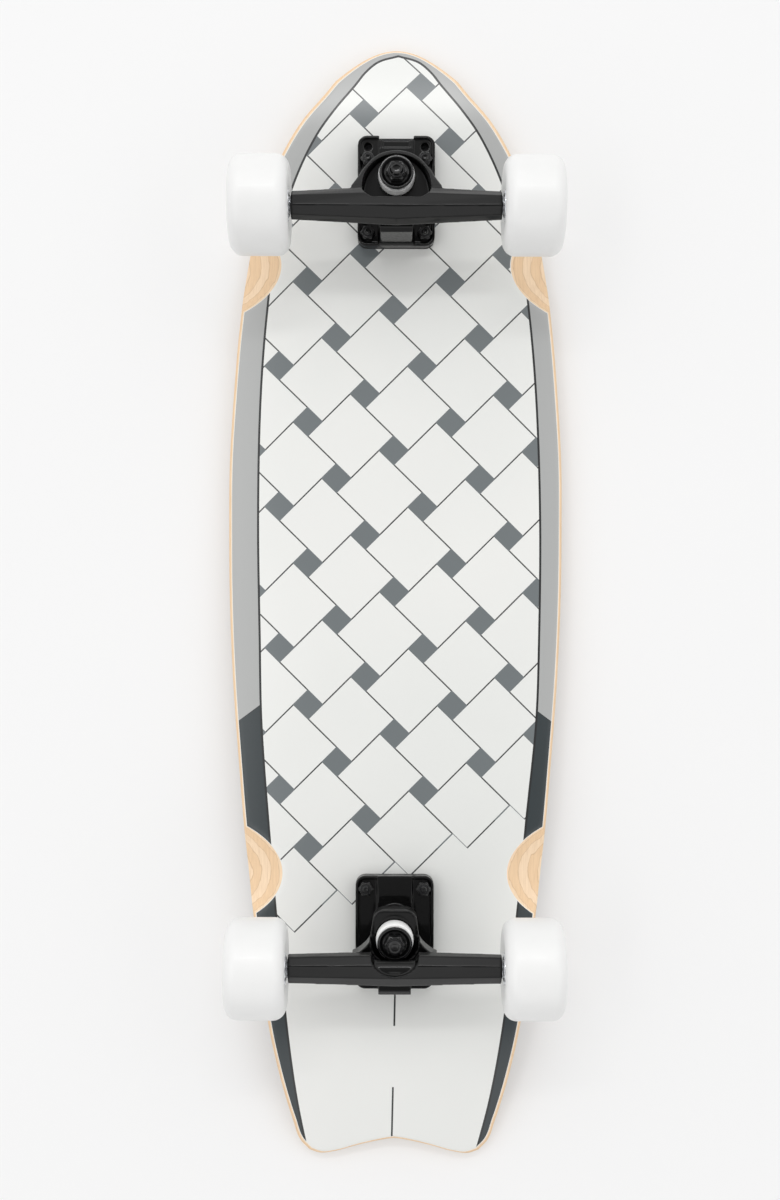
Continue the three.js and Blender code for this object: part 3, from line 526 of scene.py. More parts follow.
def curve(points, t):
    """Values at t of the smooth curve through (t, value) points."""
    places, values = np.array(points, float).T
    t = np.clip(t, places[0], places[-1])
    after = np.clip(np.searchsorted(places, t, side="right"), 1, len(places) - 1)
    before = after - 1
    first, last = before == 0, after == len(places) - 1
    far_before = np.where(first, after, before - 1)
    far_after = np.where(last, before, np.minimum(after + 1, len(places) - 1))
    span = places[after] - places[before]
    pull_before = span / 2 / (places[before] - places[far_before])
    pull_after = span / 2 / (places[far_after] - places[after])
    p = (t - places[before]) / span
    pp, ppp = p**2, p**3
    weight_before = (
        (1 + pull_before) * ppp - (1.5 + 2 * pull_before) * pp + (pull_before - 0.5) * p + 1
    )
    weight_after = (-1 - pull_after) * ppp + (1.5 + pull_after) * pp + 0.5 * p
    return (
        pull_before * (2 * pp - ppp - p) * values[far_before]
        + weight_before * values[before]
        + weight_after * values[after]
        + pull_after * (ppp - pp) * values[far_after]
    )


def nose_edge(x):
    reach = NOSE_TIP_RADIUS * NOSE_FLANK_SLOPE
    return half_length - reach * NOSE_FLANK_SLOPE * (np.hypot(1, x / reach) - 1)


def tail_edge(x):
    share = np.minimum(np.abs(x) / (TAIL_CORNER_WIDTH / 2), 1)
    return -half_length + TAIL_NOTCH_DEPTH * (1 - curve(SWALLOW_SHARES, share))


tail_rail, nose_rail = tail_edge(TAIL_CORNER_WIDTH / 2), nose_edge(NOSE_CORNER_WIDTH / 2)
rail_points = [
    (tail_rail / half_length, TAIL_CORNER_WIDTH / BOARD_WIDTH),
    *RAIL_SHARES,
    (nose_rail / half_length, NOSE_CORNER_WIDTH / BOARD_WIDTH),
]


def rail_at(y):
    return curve(rail_points, y / half_length) * half_width


def kicked(run, kick):
    slope = math.tan(math.radians(kick["degrees"]))
    return slope * (np.hypot(np.maximum(run, 0), kick["radius"]) - kick["radius"])


def underside_drop(x, y):
    off_flat = np.maximum(np.abs(x) - FLAT_STRIP_WIDTH / 2, 0) / (half_width - FLAT_STRIP_WIDTH / 2)
    kicks = kicked(y - NOSE_KICK["start"], NOSE_KICK) + kicked(-y - TAIL_KICK["start"], TAIL_KICK)
    return CONCAVE_DEPTH * off_flat**2 + kicks


def deck_point(across, along, inset):
    """The place in the deck's plan of a point that is given by its shares of width and length."""
    x = across * (rail_at(tail_rail + (nose_rail - tail_rail) * along) - inset)
    tail = tail_edge(across * TAIL_CORNER_WIDTH / 2) + inset
    nose = nose_edge(across * NOSE_CORNER_WIDTH / 2) - inset
    return x, tail + (nose - tail) * along


def well_scoop(x, y):
    """How far the nearest wheel well lies below the deck's underside: negative outside a well."""
    radius = (WELL_LENGTH**2 / 4 + WELL_DEPTH**2) / (2 * WELL_DEPTH)
    scoop = np.full_like(x, -1.0)
    for centre in WELL_CENTRES:
        rail = rail_at(centre)
        inner = rail - WELL_REACH
        inner_z = -underside_drop(inner, centre)
        slope = math.atan2(-underside_drop(rail, centre) - WELL_DEPTH - inner_z, WELL_REACH)
        bow = radius - np.sqrt(np.maximum(radius**2 - (y - centre) ** 2, 0))
        floor = inner_z + (np.abs(x) - inner) * math.tan(slope) + bow / math.cos(slope)
        near = np.abs(y - centre) < radius
        scoop = np.where(near, np.maximum(scoop, -underside_drop(x, y) - floor), scoop)
    return scoop


def arc_length(y):
    """How far along the underside's centreline y is from the middle."""
    steps = np.linspace(-half_length, half_length, CENTRELINE_STEPS)
    rise = np.gradient(underside_drop(0 * steps, steps), steps)
    run = np.cumsum(np.hypot(1, rise)) * (steps[1] - steps[0])
    return np.interp(y, steps, run - np.interp(0, steps, run))


# Half the width of the painted field, and where its middle is, along the board
PINLINE = [
    (0.4015, 0), (0.3968, 0.0147), (0.3889, 0.0239), (0.3789, 0.0315), (0.3599, 0.0469),
    (0.3415, 0.0597), (0.3086, 0.0754), (0.2648, 0.0886), (0.2083, 0.0963), (0.1475, 0.1009),
    (0.0596, 0.1030), (-0.0279, 0.1018), (-0.0861, 0.1001), (-0.1629, 0.0933), (-0.2198, 0.0880),
    (-0.3032, 0.0788), (-0.3630, 0.0703), (-0.4120, 0.0606),
]
PINLINE_MIDDLE = [
    (-0.407, -0.0017), (-0.363, -0.0006), (-0.3032, 0.0005), (-0.2198, 0.0015), (-0.15, 0.0019),
    (-0.0861, 0.0028), (-0.0279, 0.0031), (0.0596, 0.0027), (0.1475, 0.002), (0.2083, 0.0016),
    (0.2648, 0.0013), (0.407, 0.0013),
]


def inside_pinline(x, y):
    """How far a point is inside the pinline: negative outside it."""
    spots = np.array(PINLINE)
    run = np.concatenate([[0], np.cumsum(np.hypot(*np.diff(spots, axis=0).T))])
    fine = np.linspace(0, run[-1], PINLINE_STEPS)
    line_y, line_x = (curve(list(zip(run, spots[:, k])), fine) for k in (0, 1))
    x = np.abs(x - curve(PINLINE_MIDDLE, y))
    away = np.full(len(x), np.inf)
    for i in range(len(fine) - 1):
        dx, dy = line_x[i + 1] - line_x[i], line_y[i + 1] - line_y[i]
        share = np.clip(((x - line_x[i]) * dx + (y - line_y[i]) * dy) / (dx * dx + dy * dy), 0, 1)
        away = np.minimum(away, np.hypot(x - line_x[i] - share * dx, y - line_y[i] - share * dy))
    half = np.interp(-y, -line_y, line_x)
    return np.where((x < half) & (y < line_y[0]), away, -away)


def deck_sheet(columns, rows, layers):
    """A slab of the deck's outline and bend, with a rim through layers of (inset, depth).

    Its points carry what the paint needs: the place across, the run along the bend, the depth
    below the underside, the depth of a wheel well there, and how far inside the pinline it is.
    """
    bm = bmesh.new()
    bmesh.ops.create_grid(bm, x_segments=columns, y_segments=rows, size=1)
    names = ("across", "along", "inset", "rim", "side", "run", "scoop", "pin")
    layer = {name: bm.verts.layers.float.new(name) for name in names}
    # The rows lie closer together towards the nose and the tail
    for v in bm.verts:
        even = (v.co.y + 1) / 2
        v[layer["across"]] = v.co.x
        v[layer["along"]] = (even + (1 - math.cos(math.pi * even)) / 2) / 2
    shapes = bmesh.ops.duplicate(bm, geom=bm.faces[:])["geom"]
    far_faces = [g for g in shapes if isinstance(g, bmesh.types.BMFace)]
    far_verts = {v for f in far_faces for v in f.verts}
    bmesh.ops.reverse_faces(bm, faces=far_faces)
    for v in bm.verts:
        v[layer["inset"]], v[layer["rim"]] = layers[-1] if v in far_verts else layers[0]
    loop = [e for e in bm.edges if e.is_boundary and e.verts[0] not in far_verts]
    for inset, depth in layers[1:]:
        made = bmesh.ops.extrude_edge_only(bm, edges=loop)["geom"]
        loop = [g for g in made if isinstance(g, bmesh.types.BMEdge)]
        for v in {v for e in loop for v in e.verts}:
            v[layer["inset"]], v[layer["rim"]] = inset, depth

    def read(name):
        return np.array([v[layer[name]] for v in bm.verts])

    across, along, rim = read("across"), read("along"), read("rim")
    x, y = deck_point(across, along, read("inset"))
    scoop = well_scoop(x, y)
    z = -underside_drop(x, y) - np.maximum(rim, scoop)
    columns_of = {"side": x, "run": arc_length(y), "scoop": scoop, "pin": inside_pinline(x, y)}
    for i, v in enumerate(bm.verts):
        v.co = (x[i], y[i], z[i])
        for name, values in columns_of.items():
            v[layer[name]] = values[i]
    bmesh.ops.remove_doubles(bm, verts=bm.verts, dist=HAIR)
    bmesh.ops.recalc_face_normals(bm, faces=bm.faces)
    return bm


def round_edge(radius, thickness, inset=0.0, depth=0.0, steps=EDGE_STEPS):
    """Rim layers of a slab with both edges rounded."""
    turns = [math.pi / 2 * i / steps for i in range(steps + 1)]
    quarter = [(radius * (1 - math.sin(t)), radius * (1 - math.cos(t))) for t in turns]
    layers = quarter + [(i, thickness - d) for i, d in reversed(quarter)]
    return [(inset + i, depth + d) for i, d in layers]


# Materials

# The tiling: its squares' sides, one small square's middle, and the steps to the next ones
TILE_BIG = 0.0439
TILE_SMALL = 0.0148
TILE_NODE = (-0.00148, 0.1101)
TILE_STEP = (0.04164, 0.02041)
TILE_STEP_DOWN = (0.02109, -0.04127)
TILE_ROWS_DOWN = 6
TILE_LINE = 0.0010
FIELD_BLOTCH = 0.25
PINLINE_WIDTH = 0.0016
STRINGER_WIDTH = 0.0013
STRINGER_FOOT = (-0.0016, -0.395)
STRINGER_SLOPE = 0.0178
STRINGER_START = -0.24
STRINGER_GAP = (-0.3535, -0.3065)
JOINT_INNER = (0.0985, -0.0756)
JOINT_SLOPE = 0.74
JOINT_LINE_PLACE = -0.0003
JOINT_LINE_WIDTH = 0.0008
PAINT_EDGE = {"top": 0.0001, "bottom": 0.00024}
PAINT_COAT = 0.4
PAINT_ROUGHNESS = 0.3
WOOD_ROUGHNESS = 0.6
PLY_THICKNESS = DECK_THICKNESS / 7
PLY_WAVE_SIZE = 0.006
PLY_WAVE_HEIGHT = 0.0011
GRAIN_SIZE = 0.0012
GRIT_SIZE = 0.0006
GRIT_HEIGHT = 0.0004
PEEL_SIZE = 0.0016
PEEL_HEIGHT = 0.00005
CAST_BLOTCH = 0.02
SHEEN_SWING = 0.04

FIELD_WHITE = srgb(238, 238, 235)
FIELD_SHADE = srgb(232, 233, 230)
TILE_GREY = srgb(112, 118, 120)
LINE_GREY = srgb(68, 69, 69)
BAND_GREY = srgb(174, 175, 174)
BAND_CHARCOAL = srgb(47, 55, 58)
JOINT_GREY = srgb(45, 48, 50)
PIN_BLACK = srgb(32, 33, 34)
PLY_LIGHT = srgb(251, 223, 190)
PLY_DARK = srgb(243, 210, 171)
GLUE_LINE = srgb(206, 168, 126)


def tiling(paint, side, run):
    """The field's colour: a pinwheel tiling that ends towards the tail on a stair."""
    # Places on the tile lattice, in shares of its two steps
    cross = TILE_STEP[0] * TILE_STEP_DOWN[1] - TILE_STEP[1] * TILE_STEP_DOWN[0]
    x, y = side - TILE_NODE[0], run - TILE_NODE[1]
    along = (x * TILE_STEP_DOWN[1] - y * TILE_STEP_DOWN[0]) / cross
    down = (y * TILE_STEP[0] - x * TILE_STEP[1]) / cross
    u = along * TILE_BIG - down * TILE_SMALL
    v = along * -TILE_SMALL - down * TILE_BIG

    # The same places from the nearest small square's middle
    along = along - along.math("ROUND")
    down = down - down.math("ROUND")
    du = along * TILE_BIG - down * TILE_SMALL
    dv = along * -TILE_SMALL - down * TILE_BIG
    crossed = du * dv
    half, thin = TILE_SMALL / 2, TILE_LINE / 2
    on_u_line = (abs(abs(dv) - half) < thin) * (abs(du) > half) * (crossed < 0)
    on_v_line = (abs(abs(du) - half) < thin) * (abs(dv) > half) * (crossed > 0)
    square = paint.math("MAXIMUM", abs(du), abs(dv)) < half + thin

    # The stair's steps are as high as a small square
    stair_u = (0.5 - TILE_ROWS_DOWN) * TILE_SMALL
    stair_v = -TILE_ROWS_DOWN * TILE_BIG - half
    steps = (u - stair_u) / TILE_BIG
    below = v - stair_v + steps.math("FLOOR") * TILE_SMALL
    from_riser = abs(steps - steps.math("ROUND")) * TILE_BIG
    tiled = below > -thin
    riser = (from_riser < thin) * (abs(below - half) < half + thin)
    stair = paint.math("MAXIMUM", abs(below) < thin, riser)
    lines = paint.math("MAXIMUM", paint.math("MAXIMUM", on_u_line, on_v_line) * tiled, stair)

    tone = paint.noise(FIELD_BLOTCH, detail=3)
    field = paint.mix(paint.spread(tone, 0.35, 0.65, 0, 1), FIELD_WHITE, FIELD_SHADE)
    colour = paint.mix(lines, field, LINE_GREY)
    return paint.mix(square * tiled, colour, TILE_GREY)


def plies(paint, depth):
    """The colour of bare plies and their glue lines, under a thin white edge of paint."""
    uneven = paint.noise(PLY_WAVE_SIZE, detail=3, scale=(1, 0.35, 1)) - 0.5
    ply = (depth + uneven * PLY_WAVE_HEIGHT) / PLY_THICKNESS
    within = abs(ply - ply.math("ROUND"))
    odd = ply.math("ROUND").math("MODULO", 2)
    grain = paint.noise(GRAIN_SIZE, detail=4, scale=(1, 0.05, 1), roughness=0.6)
    wood = paint.mix(odd, PLY_LIGHT, PLY_DARK)
    wood = paint.mix(paint.spread(grain, 0.4, 0.75, 0, 0.35), wood, GLUE_LINE)
    wood = paint.mix(paint.spread(within, 0.43, 0.5, 0, 0.6), wood, GLUE_LINE)
    return paint.mix(depth < PAINT_EDGE["bottom"], wood, FIELD_WHITE)


def deck_paint():
    paint = Paint("deck_paint", Coat_Roughness=0.22)
    side, run, pin = (paint.attribute(name) for name in ("side", "run", "pin"))
    depth = paint.math("MAXIMUM", paint.attribute("rim"), paint.attribute("scoop"))
    colour = tiling(paint, side, run)

    # A thin line down the bare tail, with a gap
    from_line = abs(side - STRINGER_FOOT[0] - (run - STRINGER_FOOT[1]) * STRINGER_SLOPE)
    in_gap = (run > STRINGER_GAP[0]) * (run < STRINGER_GAP[1])
    stringer = (from_line < STRINGER_WIDTH / 2) * (run < STRINGER_START) * (1 - in_gap)
    colour = paint.mix(stringer, colour, PIN_BLACK)

    # Rail bands outside the pinline, light to the nose and charcoal to the tail
    past_joint = run - JOINT_INNER[1] + (abs(side) - JOINT_INNER[0]) * JOINT_SLOPE
    on_joint = abs(past_joint - JOINT_LINE_PLACE) < JOINT_LINE_WIDTH / 2
    band = paint.mix(past_joint < 0, BAND_GREY, BAND_CHARCOAL)
    band = paint.mix(on_joint, band, JOINT_GREY)
    colour = paint.mix(pin < 0, colour, band)
    colour = paint.mix(abs(pin) < PINLINE_WIDTH / 2, colour, PIN_BLACK)

    # Wood shows on the rim and in the wheel wells
    bare = depth > PAINT_EDGE["top"]
    paint.set("Base Color", paint.mix(bare, colour, plies(paint, depth)))
    paint.set("Coat Weight", (1 - bare) * PAINT_COAT)
    paint.set("Roughness", bare * (WOOD_ROUGHNESS - PAINT_ROUGHNESS) + PAINT_ROUGHNESS)
    return paint


def grip_paint():
    paint = Paint("grip_grit", Roughness=0.85)
    grit = paint.noise(GRIT_SIZE, detail=3, roughness=0.7)
    stops = [(0.35, srgb(18, 18, 19)), (0.62, srgb(38, 38, 40)), (0.8, srgb(92, 92, 95))]
    paint.set("Base Color", paint.ramp(grit, stops))
    paint.bump(grit, GRIT_HEIGHT)
    return paint


def cast_paint():
    gloss = {"Coat_Weight": 0.55, "Coat_Roughness": 0.06, "Specular_IOR_Level": 0.1}
    paint = Paint("cast_black_paint", **gloss)
    peel = paint.noise(PEEL_SIZE, detail=3)
    tone = paint.noise(CAST_BLOTCH, detail=2)
    paint.set("Base Color", paint.mix(tone, srgb(5, 5, 5), srgb(10, 10, 10)))
    paint.set("Roughness", paint.spread(peel, 0.3, 0.7, 0.3, 0.42))
    paint.bump(peel, PEEL_HEIGHT, 0.5)
    return paint


def plain(name, colour, roughness, metallic=0.0, size=0.004, shade=0.88, **constants):
    """A material of one colour, a little uneven in its tone and its sheen."""
    paint = Paint(name, Metallic=metallic, **constants)
    uneven = paint.noise(size, detail=3)
    darker = tuple(level * shade for level in colour)
    low, high = roughness - SHEEN_SWING, roughness + SHEEN_SWING
    paint.set("Base Color", paint.mix(uneven, colour, darker))
    paint.set("Roughness", paint.spread(uneven, 0.3, 0.7, low, high))
    return paint


OXIDE = {"Coat_Weight": 0.9, "Coat_Roughness": 0.05, "Specular_IOR_Level": 0.2}
MOULDED = {"size": 0.01, "shade": 0.97, "Coat_Weight": 0.1}

deck_finish = deck_paint()
grip_finish = grip_paint()
cast_finish = cast_paint()
rubber_finish = plain("riser_rubber", srgb(36, 36, 38), 0.7)
black_steel = plain("black_oxide_steel", srgb(14, 14, 15), 0.3, **OXIDE)
zinc_steel = plain("zinc_steel", srgb(196, 198, 202), 0.24, metallic=1.0)
race_steel = plain("polished_steel", srgb(210, 212, 215), 0.14, metallic=1.0)
shield_finish = plain("black_shield", srgb(28, 28, 30), 0.5)
urethane = plain("white_urethane", srgb(240, 240, 239), 0.4, **MOULDED)
bushing_finish = plain("bushing_urethane", srgb(252, 252, 251), 0.4, size=0.01, shade=0.98)
cup_finish = plain("cup_plastic", srgb(26, 26, 27), 0.5)
nylon_finish = plain("dark_nylon", srgb(22, 22, 24), 0.45)

# Deck and grip

deck = deck_sheet(DECK_COLUMNS, DECK_ROWS, round_edge(DECK_EDGE_RADIUS, DECK_THICKNESS))
finished("deck_board", deck, BOARD, deck_finish, ["deck"])


def bolt_places():
    """Each mounting bolt's name, and its frame with z from the deck's underside."""
    for truck in TRUCKS:
        for hand, world_side in (("left", -1), ("right", 1)):
            side = world_side if truck == "front" else -world_side
            for end, y in (("inner", -1), ("outer", 1)):
                place = (side * BOLT_PATTERN_WIDTH / 2, y * BOLT_PATTERN_LENGTH / 2, 0)
                yield f"{truck}_{hand}_{end}", truck_frame(truck) @ Matrix.Translation(place)


def with_holes(sheet, places, radius):
    """The mesh of a sheet that lies on the deck, with round holes through it."""
    drill = bmesh.new()
    hole = {"depth": 4 * DECK_THICKNESS, "radius1": radius, "radius2": radius, "segments": 40}
    for place in places:
        bmesh.ops.create_cone(drill, cap_ends=True, matrix=place, **hole)
    whole = added("sheet", made_mesh("sheet", sheet))
    tool = added("drill", made_mesh("drill", drill))
    cut = whole.modifiers.new("holes", "BOOLEAN")
    cut.object = tool
    cut.solver = "EXACT"
    mesh = modified(whole)
    for thing in (whole, tool):
        bpy.data.objects.remove(thing)
    return mesh


grip_rim = round_edge(GRIP_EDGE_RADIUS, GRIP_THICKNESS, DECK_EDGE_RADIUS + GRIP_INSET,
                      DECK_THICKNESS, GRIP_EDGE_STEPS)
grip = deck_sheet(GRIP_COLUMNS, GRIP_ROWS, grip_rim)
bmesh.ops.transform(grip, matrix=BOARD, verts=grip.verts)
grip_mesh = with_holes(grip, [matrix for name, matrix in bolt_places()], GRIP_HOLE_RADIUS)
grip_mesh.name = "grip_sheet"
dressed("grip_sheet", grip_mesh, grip_finish, ["grip_tape"], sharp=50)

# Hardware


def nut(name, matrix, low, high, across_flats, bore, paint, node, body):
    """A locknut: a hexagon with a rolled collar that holds a nylon ring."""
    flat = across_flats / 2
    corner = flat / math.cos(TURN / 12)
    collar = high - (high - low) * NUT_COLLAR_HEIGHT_SHARE
    lip = bore + (flat - bore) * NUT_LIP_SHARE
    profile = filleted([
        (bore, low), (flat * NUT_FACE, low), (corner, low + NUT_CHAMFERS["face"]),
        (corner, collar - NUT_CHAMFERS["collar"]), (flat * NUT_COLLAR_FOOT, collar),
        (flat * NUT_COLLAR_SIDE, collar, NUT_ROUNDS["foot"]),
        (flat * NUT_COLLAR_TOP, high, NUT_ROUNDS["top"]), (lip, high, NUT_ROUNDS["lip"]),
        (lip, high - NUT_LIP_DEPTH), (bore, high - NUT_LIP_DEPTH),
    ])
    hexagon = hexed(spun(profile, steps=60), across_flats)
    finished(name, hexagon, matrix, paint, [node], body)
    nylon_bore = bore * NYLON_BORE_SHARE
    nylon_low = high - NYLON_DEPTHS["bottom"]
    insert = filleted([
        (nylon_bore, nylon_low), (lip, nylon_low), (lip, high - NYLON_DEPTHS["rim"], SMALL_ROUND),
        (nylon_bore, high - NYLON_DEPTHS["bore"], SMALL_ROUND),
    ])
    finished(name + "_insert", spun(insert, steps=40), matrix, nylon_finish, (), body)


for name, matrix in bolt_places():
    head = -DECK_THICKNESS - GRIP_THICKNESS - SEAT_GAP
    neck = -DECK_THICKNESS + SEAT_GAP + BOLT_HEAD_HEIGHT
    low = plate_top + SEAT_GAP
    high = low + LOCKNUT_HEIGHT
    top = high + BOLT_TAIL
    socket_floor = head + BOLT_SOCKET["depth"]
    r, rim = BOLT_DIAMETER / 2, BOLT_HEAD_DIAMETER / 2
    profile = [
        (0, socket_floor), (BOLT_SOCKET["floor"], socket_floor),
        (BOLT_SOCKET["wall"], head + BOLT_SOCKET["lip"]), (BOLT_SOCKET["mouth"], head),
        (rim - BOLT_HEAD_CHAMFER["width"], head), (rim, head + BOLT_HEAD_CHAMFER["height"]),
        (rim, -DECK_THICKNESS), (r, neck), *thread(r, plate_top, top - BOLT_CHAMFER),
        *hollow_end(r, top, BOLT_CHAMFER, BOLT_HOLLOW),
    ]
    bolt = spun(profile, closed=False, steps=48)
    finished(name + "_screw", bolt, matrix, black_steel, [name + "_bolt"])
    nut(name + "_nut", matrix, low, high, LOCKNUT_ACROSS_FLATS, r, black_steel,
        name + "_locknut", "board")

# Trucks

for truck in TRUCKS:
    hanger_set = f"{truck}_hanger_set"
    pin = kingpin_frame(truck)
    cast(f"{truck}_pad", f"{truck}_riser_pad", rubber_finish, "riser_rubber", "board",
         *PAD_SOFTNESS)
    cast(f"{truck}_plate", f"{truck}_baseplate", cast_finish, "cast_black", "board",
         *PLATE_SOFTNESS)
    cast(f"{truck}_hanger_casting", f"{truck}_hanger", cast_finish, "cast_black", hanger_set,
         *HANGER_SOFTNESS)

    inner = PIVOT_NOSE_TIP_DIAMETER / 2 + SEAT_GAP
    outer = inner + PIVOT_CUP_WALL
    mouth, closed_end = SEAT_GAP - PIVOT_CUP_DEPTH, SEAT_GAP + PIVOT_CUP_WALL
    cup = filleted([
        (0, SEAT_GAP), (inner, SEAT_GAP, PIVOT_CUP_ROUNDS["floor"]),
        (inner, mouth, PIVOT_CUP_ROUNDS["bore"]), (outer, mouth, PIVOT_CUP_ROUNDS["rim"]),
        (outer, closed_end, PIVOT_CUP_ROUNDS["floor"]), (0, closed_end),
    ], closed=False)
    finished(f"{truck}_cup", spun(cup, closed=False), pivot_frame(truck), cup_finish,
             [f"{truck}_pivot_cup"])

    # The kingpin's head is sunk in the baseplate from the deck's side
    r = KINGPIN_DIAMETER / 2
    corner = KINGPIN_HEAD_ACROSS_FLATS / 2 / math.cos(TURN / 12)
    lean = math.radians(TRUCKS[truck]["lean"])
    rise = TRUCKS[truck]["ring"][1] - plate_bottom - KINGPIN_HEAD_ACROSS_FLATS * math.tan(lean)
    head = -rise / math.cos(lean)
    neck = head + KINGPIN_HEAD_HEIGHT
    thread_low = kingpin_nut_bottom - KINGPIN_THREAD_START
    thread_high = kingpin_top - KINGPIN_CHAMFER
    profile = [
        (0, head), (KINGPIN_HEAD_FACE_RADIUS, head), (corner, head + KINGPIN_HEAD_CHAMFER),
        (corner, neck), (r, neck), *thread(r, thread_low, thread_high, KINGPIN_THREAD_PITCH),
        *hollow_end(r, kingpin_top, KINGPIN_CHAMFER, KINGPIN_HOLLOW),
    ]
    kingpin = hexed(spun(profile, closed=False, steps=60), KINGPIN_HEAD_ACROSS_FLATS)
    finished(f"{truck}_kingpin_bolt", kingpin, pin, black_steel,
             [f"{truck}_kingpin"])
    nut(f"{truck}_kingpin_locknut", pin, kingpin_nut_bottom, kingpin_nut_top,
        KINGPIN_NUT_ACROSS_FLATS, r, black_steel, f"{truck}_kingpin_nut", "board")

    inner, outer = r + SEAT_GAP, WASHER_DIAMETER / 2
    bore, rim, bend, lip = (WASHER_ROUNDS[edge] for edge in ("bore", "rim", "bend", "lip"))
    low, high = board_washer_top - WASHER_THICKNESS, board_washer_top
    flat = filleted([
        (inner, low, bore), (outer, low, rim), (outer, high, rim), (inner, high, bore),
    ])
    finished(f"{truck}_board_side_washer", spun(flat, steps=72), pin, black_steel,
             [f"{truck}_board_washer"])
    low, rise, wall = road_washer_bottom, WASHER_RIM_HEIGHT, WASHER_THICKNESS
    cupped = filleted([
        (inner, low, bore), (outer - rise / 2, low, bend), (outer, low + rise - wall, lip),
        (outer, low + rise, rim), (outer - wall, low + rise, rim),
        (outer - rise, low + wall, bend), (inner, low + wall, bore),
    ])
    finished(f"{truck}_road_side_washer", spun(cupped, steps=72), pin, black_steel,
             [f"{truck}_road_washer"])

    # Each bushing runs from its far end to its end at the ring
    spans = {
        "board": (board_bushing_bottom, board_bushing_top),
        "road": (road_bushing_top, road_bushing_bottom),
    }
    outer = BUSHING_DIAMETER / 2
    bore, rim, side = (BUSHING_ROUNDS[edge] for edge in ("bore", "rim", "side"))
    for seat, (fixed, moved) in spans.items():
        low, high = sorted((fixed, moved))
        barrel = filleted([
            (inner, low, bore), (outer - BUSHING_BULGE, low, rim), (outer, (low + high) / 2, side),
            (outer - BUSHING_BULGE, high, rim), (inner, high, bore),
        ], steps=6)
        bushing = finished(f"{truck}_{seat}_side_bushing", spun(barrel, steps=72), pin,
                           bushing_finish, [f"{truck}_{seat}_bushing"], None)
        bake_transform(bushing)

    r = AXLE_DIAMETER / 2
    half_rod = [
        (r, 0), *thread(r, axle_nut_inner - AXLE_THREAD_START, axle_end - AXLE_CHAMFER),
        (r - AXLE_CHAMFER, axle_end), (0, axle_end),
    ]
    rod = [(p, -z) for p, z in reversed(half_rod)] + half_rod[1:]
    finished(f"{truck}_axle_rod", spun(rod, closed=False, steps=48), axle_frame(truck, 1),
             zinc_steel, [f"{truck}_axle"], hanger_set)

# Wheels, drawn along an axle with z from the middle of the hanger


def ring(inner, outer, low, high, soft=SMALL_ROUND):
    """The profile of a ring with soft edges."""
    corners = [(inner, low, soft), (outer, low, soft), (outer, high, soft), (inner, high, soft)]
    return filleted(corners, steps=2)


def wheel_profile():
    seat = BEARING_DIAMETER / 2
    shoulder = (BEARING_DIAMETER + SPACER_DIAMETER) / 4
    hub, recess = HUB_FACE_DIAMETER / 2, HUB_RECESS_DIAMETER / 2
    seat_end = outer_bearing_inner + BEARING_WIDTH
    seat_start = outer_bearing_inner - SEAT_GAP
    dish = filleted([
        (hub, wheel_outer),
        (recess + HUB_RECESS_FLARE, wheel_outer - HUB_FACE_DEPTH, HUB_ROUNDS["face"]),
        (recess, seat_end + HUB_RECESS_FLARE, HUB_ROUNDS["recess"]),
        (recess, seat_end, HUB_ROUNDS["floor"]), (seat, seat_end, HUB_ROUNDS["seat"]),
        (seat, seat_start), (shoulder, seat_start), (shoulder, spacer_inner), (seat, spacer_inner),
        (seat, wheel_inner + HUB_FACE_DEPTH, HUB_ROUNDS["inner"]), (hub, wheel_inner),
    ], closed=False)
    reach = WHEEL_DIAMETER / 2 - WHEEL_LIP_RADIUS
    low, high = wheel_inner + WHEEL_LIP_RADIUS, wheel_outer - WHEEL_LIP_RADIUS
    lips = arc(reach, low, WHEEL_LIP_RADIUS, -WHEEL_LIP_DEGREES, 0)
    lips += arc(reach, high, WHEEL_LIP_RADIUS, 0, WHEEL_LIP_DEGREES)
    return dish + lips


bore = AXLE_DIAMETER / 2 + RUNNING_FIT
inner_race, outer_race = BEARING_RACE_RADII["inner"], BEARING_RACE_RADII["outer"]
bearing_places = {"inner": bearing_inner, "outer": outer_bearing_inner}
speed_ring_places = {
    "inner": HANGER_WIDTH / 2 + RUNNING_FIT,
    "outer": axle_nut_inner - SPEED_RING_THICKNESS,
}
for truck in TRUCKS:
    hanger_set = f"{truck}_hanger_set"
    for hand, outwards in (("left", -1), ("right", 1)):
        name = f"{truck}_{hand}"
        wheels = f"{name}_wheel_set"
        hub = axle_frame(truck, outwards if truck == "front" else -outwards)
        finished(f"{name}_tyre", spun(wheel_profile(), steps=120), hub, urethane,
                 [f"{name}_wheel"], wheels, sharp=50)
        for place, low in bearing_places.items():
            high = low + BEARING_WIDTH
            races = spun(ring(bore, inner_race, low, high),
                         ring(outer_race, BEARING_DIAMETER / 2, low, high, BEARING_ROUND), steps=72)
            finished(f"{name}_{place}_races", races, hub, race_steel,
                     [f"{name}_{place}_bearing"], wheels)
            shields = spun(ring(inner_race, outer_race, low + SHIELD_SINK, high - SHIELD_SINK,
                                BEARING_ROUND), steps=72)
            finished(f"{name}_{place}_shield", shields, hub, shield_finish, (),
                     wheels)
        high = spacer_inner + SPACER_LENGTH
        tube = spun(ring(bore, SPACER_DIAMETER / 2, spacer_inner, high), steps=48)
        finished(f"{name}_spacer", tube, hub, race_steel,
                 [f"{name}_bearing_spacer"], wheels)
        for place, low in speed_ring_places.items():
            high = low + SPEED_RING_THICKNESS
            speed_ring = spun(ring(bore, SPEED_RING_RADIUS, low, high), steps=48)
            finished(f"{name}_{place}_speed_ring", speed_ring, hub, zinc_steel, (),
                     hanger_set)
        nut(f"{name}_axle_locknut", hub, axle_nut_inner, axle_nut_inner + AXLE_NUT_HEIGHT,
            AXLE_NUT_ACROSS_FLATS, AXLE_DIAMETER / 2, zinc_steel, f"{name}_axle_nut",
            hanger_set)

